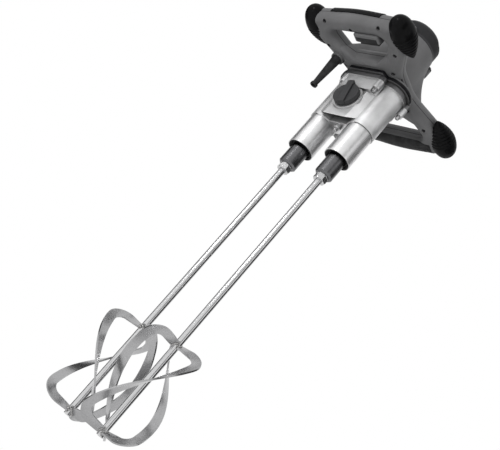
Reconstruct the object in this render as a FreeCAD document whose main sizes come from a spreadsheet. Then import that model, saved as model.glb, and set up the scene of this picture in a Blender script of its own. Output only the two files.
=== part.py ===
import FreeCAD, Part
import math
import os

import Sketcher
from FreeCAD import Placement, Rotation, Vector

# Twin-spindle paddle mixer in millimetres. +Z runs up the tool from the paddles to the motor cap,
# X joins the two spindles and Y runs from the front handle to the rear one.
# The origin lies between the spindles, level with the lower ends of the mixing rods.
doc = FreeCAD.newDocument("TwinSpindleMixer")
sheet = doc.addObject("Spreadsheet::Sheet", "Sizes")

driving_sizes = {
    # mixing rods and blades
    "rod_spacing": 88,
    "rod_diameter": 13,
    "rod_length": 602,
    "blade_foot": 9,
    "blade_height": 176,
    "blade_radius": 61,
    "blade_corner": 24,
    "strip_width": 16,
    "strip_thickness": 3,
    "blade_twist_degrees": 137,
    "hub_tilt_degrees": 34,
    "blade_phase_degrees": 21.7,
    "nut_drop": 34,
    "nut_flats": 22,
    "nut_height": 12,
    "collar_diameter": 35,
    "collar_length": 54,
    "collar_chamfer": 3,
    # spindles and their bearings
    "spindle_diameter": 17,
    "spindle_grip": 26,
    "spindle_neck": 12,
    "bearing_diameter": 40,
    "bearing_width": 12,
    "end_bearing_diameter": 20,
    "running_gap": 0.05,
    "seal_diameter": 44,
    "seal_thickness": 6,
    "seal_recess": 3,
    "lip_gap": 0.3,
    # gearbox case
    "collar_overlap": 12,
    "snout_diameter": 52.4,
    "snout_length": 69,
    "groove_width": 1.6,
    "groove_depth": 0.9,
    "lobe_diameter": 56,
    "case_height": 105,
    "case_front": 36,
    "case_back": 36,
    "web_flat": 52,
    "shelf_front": 42,
    "shelf_flat": 70,
    "shelf_height": 36,
    "shelf_corner_wall": 8,
    "flange_margin": 3,
    "flange_height": 9,
    "case_wall": 4,
    "case_floor": 24,
    "floor_gap": 2,
    "web_slope_height": 22,
    "web_slope_depth": 20,
    "knob_pad_diameter": 57,
    "knob_pad_height": 4,
    "knob_drop": 25,
    "boss_diameter": 14,
    "boss_height": 27,
    "boss_pocket_diameter": 10,
    "boss_across": 39,
    "boss_forward": 37,
    "boss_back": 37,
    "end_boss_out": 24,
    "end_boss_back": 24,
    "web_boss_forward": 8,
    "web_boss_drop": 8,
    "gasket_thickness": 2,
    "cover_thickness": 6,
    # gears
    "gear_width": 12,
    "tooth_height": 1.7,
    "spindle_gear_radius": 21.5,
    "idler_radius": 11.5,
    "second_gear_radius": 21.5,
    "second_pinion_radius": 6.5,
    "gear_shaft_diameter": 8,
    "level_gap": 7,
    "carrier_thickness": 9,
    # selector knob
    "knob_diameter": 49,
    "knob_height": 9,
    "knob_bar_width": 13,
    "knob_bar_height": 3.5,
    "knob_bar_reach": 30,
    "knob_turn_degrees": 14,
    "knob_shaft_diameter": 9,
    "knob_gap": 0.4,
    # handle frame of the housing
    "frame_height": 36,
    "frame_rounding": 14,
    "waist_half_width": 60,
    "waist_half_length": 30,
    "waist_radius": 60,
    "corner_half_width": 104,
    "shoulder_half_length": 112,
    "shoulder_radius": 30,
    "corner_half_length": 152,
    "corner_radius": 22,
    "grip_bow": 8,
    "grip_bow_radius": 380,
    "grip_depth": 37,
    "opening_half_width": 70,
    "opening_root_half_width": 45,
    "opening_root": 66,
    "opening_radius": 15,
    "shell_wall": 3,
    "skirt_margin": 7,
    "skirt_height": 7,
    # motor barrel and its cap
    "barrel_diameter": 114,
    "barrel_height": 78,
    "barrel_wall": 2.2,
    "shoulder_drop": 38,
    "saddle_reach": 48,
    "saddle_arm_degrees": 50,
    "saddle_spread_degrees": 13,
    "cap_diameter": 98,
    "cap_top_diameter": 84,
    "cap_height": 38,
    "cap_rounding": 6,
    "cap_wall": 3,
    "ear_diameter": 13,
    "ear_offset": 5,
    "ear_drop": 30,
    "ear_degrees": 65,
    "tab_thickness": 4,
    "cap_screw_depth": 16,
    "vent_width": 2.4,
    "vent_height": 20,
    "vent_count": 30,
    "side_vent_half_length": 24,
    "side_vent_height": 3,
    "side_vent_pitch": 6,
    # corner bumpers and soft grips
    "bumper_rib_depth": 1.6,
    "bumper_rib_width": 2.4,
    "bumper_half_width": 23,
    "bumper_half_length": 45,
    "bumper_across": 99,
    "bumper_along": 119,
    "bumper_toe_degrees": 3,
    "bumper_rib_start": 6,
    "bumper_rib_pitch": 6.5,
    "bumper_rib_count": 7,
    "pad_thickness": 1.4,
    "pad_half_length": 56,
    "pad_depth": 22,
    # trigger and switch
    "trigger_offset": 27,
    "trigger_length": 42,
    "trigger_height": 22,
    "trigger_depth": 17,
    "trigger_reach": 8,
    "trigger_travel": 6,
    "trigger_gap": 0.4,
    "trigger_block_length": 56,
    "trigger_block_height": 30,
    "trigger_block_reach": 12,
    "trigger_drop": 5,
    "plunger_diameter": 6,
    "plunger_length": 12,
    "switch_length": 40,
    "switch_height": 20,
    "switch_depth": 40,
    # cord guard
    "guard_across": 66,
    "guard_forward": 62,
    "guard_length": 78,
    "guard_root_diameter": 20,
    "guard_tip_diameter": 14,
    "guard_bore": 8,
    "guard_flange": 4,
    "socket_wall": 2.5,
    "socket_depth": 4,
    # motor
    "stator_bore": 56,
    "stator_rise": 20,
    "stator_headroom": 10,
    "air_gap": 0.6,
    "winding_height": 8,
    "motor_shaft_diameter": 10,
    "fan_clearance": 7,
    "fan_height": 6.5,
    "fan_plate": 2,
    "fan_gap": 1,
    "fan_blade_thickness": 2,
    "fan_hub_diameter": 24,
    "fan_blade_count": 12,
    "commutator_diameter": 26,
    "commutator_height": 16,
    "commutator_drop": 30,
    "brush_width": 8,
    "brush_length": 16,
    "brush_gap": 0.3,
    "holder_gap": 1.2,
    "motor_bearing_diameter": 26,
    "motor_bearing_width": 8,
    # screws and small clearances
    "screw_diameter": 4,
    "screw_head_diameter": 8,
    "screw_head_height": 3,
    "screw_column_diameter": 12,
    "screw_depth": 24,
    "corner_screw_across": 62,
    "corner_screw_along": 146,
    "arm_screw_across": 77,
    "arm_screw_along": 89,
    "root_screw_across": 56,
    "root_screw_along": 44,
    "bolt_diameter": 5,
    "bolt_head_diameter": 8.5,
    "bolt_head_height": 5,
    "bolt_grip": 9,
    "overrun": 1,
}


class Dim:
    # A length that carries its value and the sheet expression that gives it.
    def __init__(self, value, text):
        self.value = value
        self.text = text

    def __add__(self, other):
        other = as_dim(other)
        return Dim(self.value + other.value, f"({self.text} + {other.text})")

    def __sub__(self, other):
        other = as_dim(other)
        return Dim(self.value - other.value, f"({self.text} - {other.text})")

    def __mul__(self, factor):
        factor = as_dim(factor)
        return Dim(self.value * factor.value, f"({self.text} * {factor.text})")

    def __truediv__(self, divisor):
        divisor = as_dim(divisor)
        return Dim(self.value / divisor.value, f"({self.text} / {divisor.text})")

    def __neg__(self):
        return Dim(-self.value, f"(-1 * {self.text})")

    def __float__(self):
        return self.value


def as_dim(number):
    if isinstance(number, Dim):
        return number
    return Dim(float(number), f"{float(number):.9f}")


class Sizes:
    # Each driving size as an attribute, bound to its cell of the sheet.
    pass


S = Sizes()
for row, (alias, number) in enumerate(driving_sizes.items(), start=1):
    sheet.set(f"A{row}", alias)
    sheet.set(f"B{row}", str(number))
    sheet.setAlias(f"B{row}", alias)
    setattr(S, alias, Dim(float(number), f"Sizes.{alias}"))
doc.recompute()

zero = as_dim(0)
nodes = {}


def node(label, item):
    item.Label = label
    nodes[label] = item
    return item


def bound(kind, name, place=(zero, zero, zero), turn=None, **sizes):
    item = doc.addObject(kind, name)
    for prop, length in sizes.items():
        item.setExpression(prop, length.text)
    if turn:
        item.Placement = Placement(Vector(), turn)
    for axis, length in zip("xyz", place):
        item.setExpression(f"Placement.Base.{axis}", as_dim(length).text)
    return item


def rod(name, diameter, height, place, turn=None):
    return bound("Part::Cylinder", name, place, turn, Radius=diameter / 2, Height=height)


def block(name, length, width, height, place):
    return bound("Part::Box", name, place, None, Length=length, Width=width, Height=height)


def joined(name, *items):
    fuse = doc.addObject("Part::MultiFuse", name)
    fuse.Shapes = list(items)
    return fuse


def cut(name, base, *tools):
    tool = tools[0] if len(tools) == 1 else joined(name + "_tools", *tools)
    result = doc.addObject("Part::Cut", name)
    result.Base = base
    result.Tool = tool
    return result


def pin_corner(sketch, i, across, up):
    # Ties the first end of line i to its two coordinates.
    for kind, length, axis in (("DistanceX", across, -2), ("DistanceY", up, -1)):
        if length.value == 0:
            sketch.addConstraint(Sketcher.Constraint("PointOnObject", i, 1, axis))
        elif length.value > 0:
            spot = sketch.addConstraint(Sketcher.Constraint(kind, -1, 1, i, 1, length.value))
            sketch.setExpression(f"Constraints[{spot}]", length.text)
        else:
            spot = sketch.addConstraint(Sketcher.Constraint(kind, i, 1, -1, 1, -length.value))
            sketch.setExpression(f"Constraints[{spot}]", (-length).text)


def draw_outline(sketch, corners):
    # A closed outline of straight lines through corners that the sheet places.
    spots = [Vector(float(across), float(up), 0) for across, up in corners]
    count = len(spots)
    for i in range(count):
        sketch.addGeometry(Part.LineSegment(spots[i], spots[(i + 1) % count]), False)
    for i in range(count):
        sketch.addConstraint(Sketcher.Constraint("Coincident", i, 2, (i + 1) % count, 1))
    for i, (across, up) in enumerate(corners):
        pin_corner(sketch, i, across, up)


def prism(label, corners, level, height):
    # A straight prism that stands on an outline given in x and y.
    sketch = doc.addObject("Sketcher::SketchObject", label + "_outline")
    draw_outline(sketch, corners)
    sketch.setExpression("Placement.Base.z", level.text)
    solid = doc.addObject("Part::Extrusion", label)
    solid.Base = sketch
    solid.DirMode = "Normal"
    solid.setExpression("LengthFwd", height.text)
    solid.Solid = True
    return solid


def turned(label, rows, place=(zero, zero, zero)):
    # A revolved body whose half profile is given as radius and height of each corner.
    body = doc.addObject("PartDesign::Body", label)
    sketch = body.newObject("Sketcher::SketchObject", label + "_profile")
    plane = [item for item in body.Origin.OriginFeatures if item.Role == "XZ_Plane"][0]
    sketch.AttachmentSupport = [(plane, "")]
    sketch.MapMode = "FlatFace"
    draw_outline(sketch, [(as_dim(radius), as_dim(height)) for radius, height in rows])
    revolve = body.newObject("PartDesign::Revolution", label + "_revolve")
    revolve.Profile = sketch
    revolve.ReferenceAxis = (sketch, ["V_Axis"])
    revolve.Angle = 360
    for axis, length in zip("xyz", place):
        body.setExpression(f"Placement.Base.{axis}", as_dim(length).text)
    return body


def tube(label, outer, inner, height, place):
    wall_corners = [(inner / 2, zero), (outer / 2, zero), (outer / 2, height), (inner / 2, height)]
    return turned(label, wall_corners, place)


def shaped(label, shape):
    item = doc.addObject("Part::Feature", label)
    item.Shape = shape
    return item


def rounded_wire(corners, level):
    # A closed outline of lines and tangent arcs through corners given as x, y and radius.
    count = len(corners)
    arcs = []
    for i, (x, y, radius) in enumerate(corners):
        here = Vector(x, y, level)
        back = Vector(*corners[i - 1][:2], level) - here
        ahead = Vector(*corners[(i + 1) % count][:2], level) - here
        back.normalize()
        ahead.normalize()
        half = back.getAngle(ahead) / 2
        reach = radius / math.tan(half)
        inward = back + ahead
        inward.normalize()
        middle = here + inward * (radius / math.sin(half) - radius)
        arcs.append((here + back * reach, middle, here + ahead * reach))
    edges = []
    for i, (start, middle, end) in enumerate(arcs):
        edges.append(Part.Arc(start, middle, end).toShape())
        edges.append(Part.LineSegment(end, arcs[(i + 1) % count][0]).toShape())
    return Part.Wire(edges)


def slab(wire, height):
    return Part.Face(wire).extrude(Vector(0, 0, height))


def cylinder(radius, height, x, y, z, axis=Vector(0, 0, 1)):
    return Part.makeCylinder(radius, height, Vector(x, y, z), axis)


def box(x_range, y_range, z_range):
    low = Vector(x_range[0], y_range[0], z_range[0])
    return Part.makeBox(x_range[1] - x_range[0], y_range[1] - y_range[0], z_range[1] - z_range[0], low)


def level_edges(shape):
    # Edges that lie in a plane square to Z.
    return [edge for edge in shape.Edges if edge.BoundBox.ZLength < float(S.running_gap)]


def along(points):
    return Part.makePolygon([Vector(*point) for point in points + points[:1]])


# levels and places shared by several pieces
half_spacing = S.rod_spacing / 2
nut_level = S.rod_length - S.nut_drop
collar_level = nut_level + S.nut_height
snout_level = collar_level + S.collar_length - S.collar_overlap
case_level = snout_level + S.snout_length
case_top = case_level + S.case_height
cover_level = case_top + S.gasket_thickness
cover_top = cover_level + S.cover_thickness
shelf_level = case_top - S.shelf_height
knob_level = shelf_level - S.knob_drop
frame_level = cover_top
parting_level = frame_level + S.frame_height / 2
barrel_top = frame_level + S.frame_height + S.barrel_height
barrel_shoulder = barrel_top - S.shoulder_drop
# the barrel tapers towards its cap, and the motor fills it up to the shoulder
shoulder_share = (barrel_shoulder - parting_level) / (barrel_top - parting_level)
shoulder_diameter = S.barrel_diameter + (S.cap_diameter - S.barrel_diameter) * shoulder_share
motor_diameter = shoulder_diameter - S.barrel_wall * 2
fan_diameter = motor_diameter - S.fan_clearance * 2
stator_level = frame_level + S.stator_rise
stator_height = barrel_shoulder - stator_level - S.stator_headroom
commutator_level = barrel_top - S.commutator_drop
chamber_floor = case_level + S.case_floor
bearing_level = snout_level + S.seal_recess + S.seal_thickness + S.spindle_neck
sync_level = chamber_floor + S.floor_gap
carrier_level = sync_level + S.gear_width + S.level_gap
second_level = carrier_level + S.carrier_thickness + S.level_gap / 2
first_level = second_level + S.gear_width + S.level_gap / 2
spindle_level = collar_level + S.collar_length - S.spindle_grip
spindle_top = carrier_level + S.carrier_thickness
sides = (("left", -1), ("right", 1))

# gear centres: the idlers mesh with the spindle gears and each other, and the layshaft with the second gear
sync_reach = float(S.spindle_gear_radius + S.idler_radius)
idler_x = float(S.idler_radius)
idler_y = math.sqrt(sync_reach ** 2 - (float(half_spacing) - idler_x) ** 2)
second_reach = float(S.second_gear_radius + S.second_pinion_radius)
layshaft_y = idler_y - math.sqrt(second_reach ** 2 - idler_x ** 2)
teeth = {"spindle": 43, "idler": 23, "second": 43, "second_pinion": 13, "first": 41, "motor_pinion": 11}
first_module_share = 1 / (teeth["first"] + teeth["motor_pinion"])
first_gear_radius = -layshaft_y * teeth["first"] * first_module_share
motor_pinion_radius = -layshaft_y * teeth["motor_pinion"] * first_module_share
tooth_tip_share = 0.20
tooth_foot_share = 0.46
tooth_rise_share = 0.42


def gear_shape(radius, count, bore, height, level, x, y, tooth_at):
    # A spur gear with straight flanks, one tooth pointing at the angle tooth_at.
    rise = float(S.tooth_height) * tooth_rise_share
    tip = radius + rise
    foot = radius + rise - float(S.tooth_height)
    pitch = 2 * math.pi / count
    points = []
    for i in range(count):
        middle = tooth_at + i * pitch
        for reach, share in ((foot, -tooth_foot_share), (tip, -tooth_tip_share), (tip, tooth_tip_share),
                             (foot, tooth_foot_share)):
            angle = middle + share * pitch / 2
            points.append((x + reach * math.cos(angle), y + reach * math.sin(angle), level))
    blank = slab(along(points), height)
    return blank.cut(cylinder(bore, height, x, y, level))


def facing_gap(own_xy, other_xy, count):
    # Tooth angle that puts a gap of this gear on the line to the other centre.
    angle = math.atan2(other_xy[1] - own_xy[1], other_xy[0] - own_xy[0])
    return angle + math.pi / count


def facing_tooth(own_xy, other_xy):
    return math.atan2(other_xy[1] - own_xy[1], other_xy[0] - own_xy[0])


def carried_phase(own_xy, driver_xy, driver_tooth, driver_count, count):
    # Tooth angle that meshes with a driver whose tooth angle is already set.
    to_own = math.atan2(own_xy[1] - driver_xy[1], own_xy[0] - driver_xy[0])
    lead = (to_own - driver_tooth) * driver_count
    return to_own + math.pi + (math.pi + lead) / count


# mixing rods with their blades, nuts, collars and spindles
def blade_shape(x, hand, start):
    # One strip: out along a tilted arm, round a corner, down the helix and back in to the rod.
    radius = float(S.blade_radius - S.strip_width / 2)
    corner = float(S.blade_corner)
    twist = math.radians(float(S.blade_twist_degrees))
    rise = float(S.blade_height)
    lead = math.atan2(rise, radius * twist)
    hub_tilt = math.radians(float(S.hub_tilt_degrees))
    inner = float(S.rod_diameter) * hub_start_share
    stations = []
    for i in range(arm_steps):
        share = i / arm_steps
        reach = inner + (radius - corner - inner) * share
        stations.append((reach, 0, 0, hub_tilt + (lead - hub_tilt) * share))
    for i in range(corner_steps + 1):
        turn = math.pi / 2 * i / corner_steps
        reach = radius - corner + corner * math.sin(turn)
        stations.append((reach, corner * (1 - math.cos(turn)), turn, lead))
    half = rise / math.sin(lead) / 2
    for i in range(1, run_steps + 1):
        stations.append((radius, corner + (half - corner) * i / run_steps, math.pi / 2, lead))
    lower = [(reach, 2 * half - run, math.pi - turn, tilt)
             for reach, run, turn, tilt in reversed(stations[:-1])]
    sections = []
    for rho, run, turn, tilt in stations + lower:
        angle = start - hand * run * math.cos(lead) / radius
        level = float(S.blade_foot) + rise - run * math.sin(lead)
        out = Vector(math.cos(angle), math.sin(angle), 0)
        round_way = Vector(-math.sin(angle), math.cos(angle), 0) * hand
        climb = round_way * math.cos(tilt) + Vector(0, 0, 1) * math.sin(tilt)
        across = out * math.sin(turn) + climb * math.cos(turn)
        thick = (out * math.cos(turn) - climb * math.sin(turn)).cross(across)
        centre = Vector(x, 0, level) + out * rho
        half_width = across * float(S.strip_width / 2)
        half_thick = thick * float(S.strip_thickness / 2)
        ring = [centre - half_width - half_thick, centre + half_width - half_thick,
                centre + half_width + half_thick, centre - half_width + half_thick]
        sections.append(Part.makePolygon(ring + ring[:1]))
    strip = Part.makeLoft(sections, True, False)
    return strip.cut(cylinder(float(S.rod_diameter / 2), float(S.rod_length), x, 0, 0))


hub_start_share = 0.42
arm_steps = 5
corner_steps = 6
run_steps = 6
blade_count = 3
phase = math.radians(float(S.blade_phase_degrees))
for side, sign in sides:
    x = half_spacing * sign
    place = (x, zero, zero)
    node(f"{side}_mixing_rod", rod(f"{side}_mixing_rod", S.rod_diameter, S.rod_length, place))
    # the paddles mirror each other, half a blade apart, so that the strips pass between each other
    hand = sign
    own_phase = phase if sign > 0 else math.pi - phase + math.pi / blade_count
    strips = [blade_shape(float(x), hand, own_phase + i * 2 * math.pi / blade_count)
              for i in range(blade_count)]
    node(f"{side}_paddle_blades", shaped(f"{side}_paddle_blades", Part.makeCompound(strips)))
    hexagon = bound("Part::Prism", f"{side}_nut_blank", (x, zero, nut_level),
                    Circumradius=S.nut_flats / 2 / math.cos(math.pi / 6), Height=S.nut_height)
    hexagon.Polygon = 6
    nut_bore = rod(f"{side}_nut_bore", S.rod_diameter, S.nut_height, (x, zero, nut_level))
    node(f"{side}_lock_nut", cut(f"{side}_lock_nut", hexagon, nut_bore))
    collar_top = S.collar_length
    shaft_seat = collar_top - S.spindle_grip
    node(f"{side}_chuck_collar", turned(f"{side}_chuck_collar", [
        (S.rod_diameter / 2, zero),
        (S.collar_diameter / 2 - S.collar_chamfer, zero),
        (S.collar_diameter / 2, S.collar_chamfer),
        (S.collar_diameter / 2, collar_top),
        (S.spindle_diameter / 2, collar_top),
        (S.spindle_diameter / 2, shaft_seat),
        (S.rod_diameter / 2, shaft_seat),
    ], (x, zero, collar_level)))
    node(f"{side}_spindle", rod(f"{side}_spindle", S.spindle_diameter, spindle_top - spindle_level,
                                (x, zero, spindle_level)))
    fit = S.spindle_diameter + S.running_gap * 2
    lower = tube(f"{side}_lower_bearing", S.bearing_diameter, fit, S.bearing_width,
                 (x, zero, bearing_level))
    node(f"{side}_lower_bearing", lower)
    upper = tube(f"{side}_upper_bearing", S.end_bearing_diameter, fit, S.carrier_thickness,
                 (x, zero, carrier_level))
    node(f"{side}_upper_bearing", upper)
    seal_bore = S.collar_diameter + S.lip_gap * 2
    seal = tube(f"{side}_spindle_seal", S.seal_diameter, seal_bore, S.seal_thickness,
                (x, zero, snout_level + S.seal_recess))
    node(f"{side}_spindle_seal", seal)

# gear train
right_xy = (float(half_spacing), 0)
left_xy = (-float(half_spacing), 0)
intermediate_xy = (idler_x, idler_y)
idler_xy = (-idler_x, idler_y)
layshaft_xy = (0, layshaft_y)
motor_xy = (0, 0)
sync_height = float(S.gear_width)
spindle_bore = float(S.spindle_diameter / 2)
shaft_radius = float(S.gear_shaft_diameter / 2)
right_tooth = facing_tooth(right_xy, intermediate_xy)
intermediate_tooth = carried_phase(intermediate_xy, right_xy, right_tooth, teeth["spindle"], teeth["idler"])
idler_tooth = carried_phase(idler_xy, intermediate_xy, intermediate_tooth, teeth["idler"], teeth["idler"])
left_tooth = carried_phase(left_xy, idler_xy, idler_tooth, teeth["idler"], teeth["spindle"])
sync_z = float(sync_level)
second_z = float(second_level)
first_z = float(first_level)
spindle_radius = float(S.spindle_gear_radius)
node("right_spindle_gear", shaped("right_spindle_gear", gear_shape(
    spindle_radius, teeth["spindle"], spindle_bore, sync_height, sync_z, *right_xy, right_tooth)))
node("left_spindle_gear", shaped("left_spindle_gear", gear_shape(
    spindle_radius, teeth["spindle"], spindle_bore, sync_height, sync_z, *left_xy, left_tooth)))
node("idler_gear", shaped("idler_gear", gear_shape(
    idler_x, teeth["idler"], shaft_radius + float(S.running_gap), sync_height, sync_z, *idler_xy,
    idler_tooth)))
node("intermediate_pinion", shaped("intermediate_pinion", gear_shape(
    idler_x, teeth["idler"], shaft_radius, sync_height, sync_z, *intermediate_xy, intermediate_tooth)))
second_tooth = facing_tooth(intermediate_xy, layshaft_xy)
node("second_gear", shaped("second_gear", gear_shape(
    float(S.second_gear_radius), teeth["second"], shaft_radius, sync_height, second_z, *intermediate_xy,
    second_tooth)))
pinion_tooth = facing_gap(layshaft_xy, intermediate_xy, teeth["second_pinion"])
node("layshaft_pinion", shaped("layshaft_pinion", gear_shape(
    float(S.second_pinion_radius), teeth["second_pinion"], shaft_radius, sync_height, second_z, *layshaft_xy,
    pinion_tooth)))
first_tooth = facing_tooth(layshaft_xy, motor_xy)
node("first_gear", shaped("first_gear", gear_shape(
    first_gear_radius, teeth["first"], shaft_radius, sync_height, first_z, *layshaft_xy, first_tooth)))
motor_tooth = facing_gap(motor_xy, layshaft_xy, teeth["motor_pinion"])
motor_pin = motor_pinion_radius - float(S.tooth_height)
node("motor_pinion", shaped("motor_pinion", gear_shape(
    motor_pinion_radius, teeth["motor_pinion"], motor_pin / 2, sync_height, first_z, *motor_xy,
    motor_tooth)))
chamber_z = float(chamber_floor)
shaft_foot = chamber_z - float(S.case_floor / 2)
node("idler_pin", shaped("idler_pin", cylinder(
    shaft_radius, float(spindle_top) - shaft_foot, *idler_xy, shaft_foot)))
node("intermediate_shaft", shaped("intermediate_shaft", cylinder(
    shaft_radius, second_z + sync_height - shaft_foot, *intermediate_xy, shaft_foot)))
lay_foot = float(carrier_level)
node("layshaft", shaped("layshaft", cylinder(
    shaft_radius, float(cover_top) - lay_foot - float(S.cover_thickness / 2), *layshaft_xy, lay_foot)))


# gearbox case: two lobes and snouts about the spindles, joined by a web that steps forward under the cover
web_side_share = 0.95


def web_corners(margin, front, flat):
    side = (S.lobe_diameter / 2 + margin) * web_side_share
    back = S.case_back + margin
    corner = (flat + margin) / 2
    right = [(corner, -front - margin), (half_spacing, -side), (half_spacing, side), (corner, back)]
    return right + [(-x, y) for x, y in reversed(right)]


def case_outline(name, margin, level, height, front, flat):
    lobes = [rod(f"{name}_{side}_lobe", S.lobe_diameter + margin * 2, height,
                 (half_spacing * sign, zero, level)) for side, sign in sides]
    return joined(name, *lobes, prism(f"{name}_middle", web_corners(margin, front, flat), level, height))


facing_front = Rotation(Vector(1, 0, 0), 90)
lower_plan = (S.case_front, S.web_flat)
upper_plan = (S.shelf_front, S.shelf_flat)
web_blank = prism("web_blank", web_corners(zero, *lower_plan), case_level, S.case_height)
# the lower front and back edges of the web slope back between the lobes
slopes = []
for name, front, turn in (("front_slope", S.case_front, 0), ("back_slope", S.case_back, 180)):
    slope = bound("Part::Wedge", name)
    for prop, length in (("Xmin", zero), ("Xmax", S.rod_spacing), ("X2min", zero), ("X2max", S.rod_spacing),
                         ("Ymin", zero), ("Ymax", S.web_slope_height), ("Zmin", zero),
                         ("Zmax", S.web_slope_depth), ("Z2min", zero), ("Z2max", zero)):
        slope.setExpression(prop, length.text)
    slope.Placement = Placement(Vector(), Rotation(Vector(0, 0, 1), turn) * Rotation(Vector(1, 0, 0), 90))
    sign = -1 if turn == 0 else 1
    slope.setExpression("Placement.Base.x", (half_spacing * sign).text)
    slope.setExpression("Placement.Base.y", ((front - S.web_slope_depth) * sign).text)
    slope.setExpression("Placement.Base.z", case_level.text)
    slopes.append(slope)
web = cut("web", web_blank, *slopes)
lobes = [rod(f"{side}_lobe", S.lobe_diameter, S.case_height, (half_spacing * sign, zero, case_level))
         for side, sign in sides]
shelf = prism("shelf", web_corners(zero, *upper_plan), shelf_level, S.shelf_height)
flange = case_outline("flange", S.flange_margin, case_top - S.flange_height, S.flange_height, *upper_plan)
snouts = [rod(f"{side}_snout", S.snout_diameter, S.snout_length, (half_spacing * sign, zero, snout_level))
          for side, sign in sides]
knob_pad = rod("knob_pad", S.knob_pad_diameter, S.knob_pad_height, (zero, -S.case_front, knob_level),
               facing_front)
boss_level = case_top - S.boss_height
end_x = half_spacing + S.end_boss_out
bolt_places = [(S.boss_across * sign, -S.boss_forward) for side, sign in sides]
bolt_places += [(S.boss_across * sign, S.boss_back) for side, sign in sides]
bolt_places += [(end_x * sign, S.end_boss_back) for side, sign in sides]
bosses = [rod(f"case_boss_{i}", S.boss_diameter, S.boss_height, (x, y, boss_level))
          for i, (x, y) in enumerate(bolt_places)]
web_boss_level = case_level - S.web_boss_drop
bosses.append(rod("web_boss", S.boss_diameter, S.web_boss_drop,
                  (zero, -S.web_boss_forward, web_boss_level)))
case_solid = joined("case_solid", web, *lobes, shelf, flange, *snouts, knob_pad, *bosses)
case_cuts = []
chamber_height = S.case_height - S.case_floor
for side, sign in sides:
    x = half_spacing * sign
    seal_seat = S.seal_recess + S.seal_thickness
    shaft_room = S.collar_diameter + S.lip_gap * 4
    case_cuts.append(rod(f"{side}_seal_seat", S.seal_diameter, seal_seat, (x, zero, snout_level)))
    case_cuts.append(rod(f"{side}_neck", shaft_room, S.spindle_neck, (x, zero, snout_level + seal_seat)))
    case_cuts.append(rod(f"{side}_bearing_seat", S.bearing_diameter, S.bearing_width,
                         (x, zero, bearing_level)))
    above = bearing_level + S.bearing_width
    case_cuts.append(rod(f"{side}_shaft_bore", S.bearing_diameter - S.case_wall * 2, chamber_floor - above,
                         (x, zero, above)))
    groove_place = (x, zero, case_level)
    ring = rod(f"{side}_groove_ring", S.lobe_diameter + S.overrun * 2, S.groove_width, groove_place)
    core = rod(f"{side}_groove_core", S.snout_diameter - S.groove_depth * 2, S.groove_width, groove_place)
    between_lobes = block(f"{side}_groove_web", S.rod_spacing, S.case_front + S.case_back, S.groove_width,
                          (-half_spacing, -S.case_front, case_level))
    case_cuts.append(cut(f"{side}_groove", ring, core, between_lobes))
case_cuts.append(case_outline("chamber", -S.case_wall, chamber_floor, chamber_height, *lower_plan))
shelf_room = (S.shelf_front, S.shelf_flat - S.shelf_corner_wall * 2)
case_cuts.append(prism("shelf_chamber", web_corners(-S.case_wall, *shelf_room), shelf_level + S.case_wall,
                       S.shelf_height - S.case_wall))
case_cuts += [rod(f"bolt_pocket_{i}", S.boss_pocket_diameter, boss_level - shelf_level + S.overrun,
                  (x, y, shelf_level - S.overrun)) for i, (x, y) in enumerate(bolt_places[:4])]
knob_bore_length = S.knob_pad_height + S.case_wall * 2
case_cuts.append(rod("knob_bore", S.knob_shaft_diameter + S.running_gap * 2, knob_bore_length,
                     (zero, -S.case_front + S.case_wall * 2, knob_level), facing_front))
case_cuts.append(rod("idler_pin_seat", S.gear_shaft_diameter, S.case_floor / 2,
                     (as_dim(-idler_x), as_dim(idler_y), chamber_floor - S.case_floor / 2)))
case_cuts.append(rod("intermediate_seat", S.gear_shaft_diameter + S.running_gap * 2, S.case_floor / 2,
                     (as_dim(idler_x), as_dim(idler_y), chamber_floor - S.case_floor / 2)))
bolt_length = S.boss_height + S.bolt_grip
bolt_holes = [rod(f"bolt_hole_{i}", S.bolt_diameter, bolt_length, (x, y, boss_level))
              for i, (x, y) in enumerate(bolt_places)]
case_cuts += bolt_holes
case_cuts.append(rod("web_bolt_hole", S.bolt_diameter, S.web_boss_drop * 2,
                     (zero, -S.web_boss_forward, web_boss_level)))
node("gearbox_case", cut("gearbox_case", case_solid, *case_cuts))

carrier_blank = case_outline("carrier_blank", -S.case_wall, carrier_level, S.carrier_thickness, *lower_plan)
carrier_holes = [rod(f"{side}_carrier_seat", S.end_bearing_diameter, S.carrier_thickness,
                     (half_spacing * sign, zero, carrier_level)) for side, sign in sides]
running_bore = S.gear_shaft_diameter + S.running_gap * 2
carrier_holes.append(rod("carrier_idler_hole", S.gear_shaft_diameter, S.carrier_thickness,
                         (as_dim(-idler_x), as_dim(idler_y), carrier_level)))
carrier_holes.append(rod("carrier_intermediate_hole", running_bore, S.carrier_thickness,
                         (as_dim(idler_x), as_dim(idler_y), carrier_level)))
carrier_holes.append(rod("carrier_layshaft_hole", running_bore, S.carrier_thickness,
                         (zero, as_dim(layshaft_y), carrier_level)))
node("gear_carrier", cut("gear_carrier", carrier_blank, *carrier_holes))

gasket_blank = case_outline("gasket_blank", -S.groove_depth, case_top, S.gasket_thickness, *upper_plan)
gasket_room = case_outline("gasket_room", -S.case_wall, case_top, S.gasket_thickness, *upper_plan)
node("case_gasket", cut("case_gasket", gasket_blank, gasket_room, *bolt_holes))

cover_blank = case_outline("cover_blank", zero, cover_level, S.cover_thickness, *upper_plan)
cover_holes = [rod("cover_bearing_seat", S.motor_bearing_diameter, S.cover_thickness,
                   (zero, zero, cover_level))]
cover_holes.append(rod("cover_layshaft_hole", running_bore, S.cover_thickness / 2,
                       (zero, as_dim(layshaft_y), cover_level)))
node("gearbox_cover", cut("gearbox_cover", cover_blank, *cover_holes, *bolt_holes))

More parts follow.
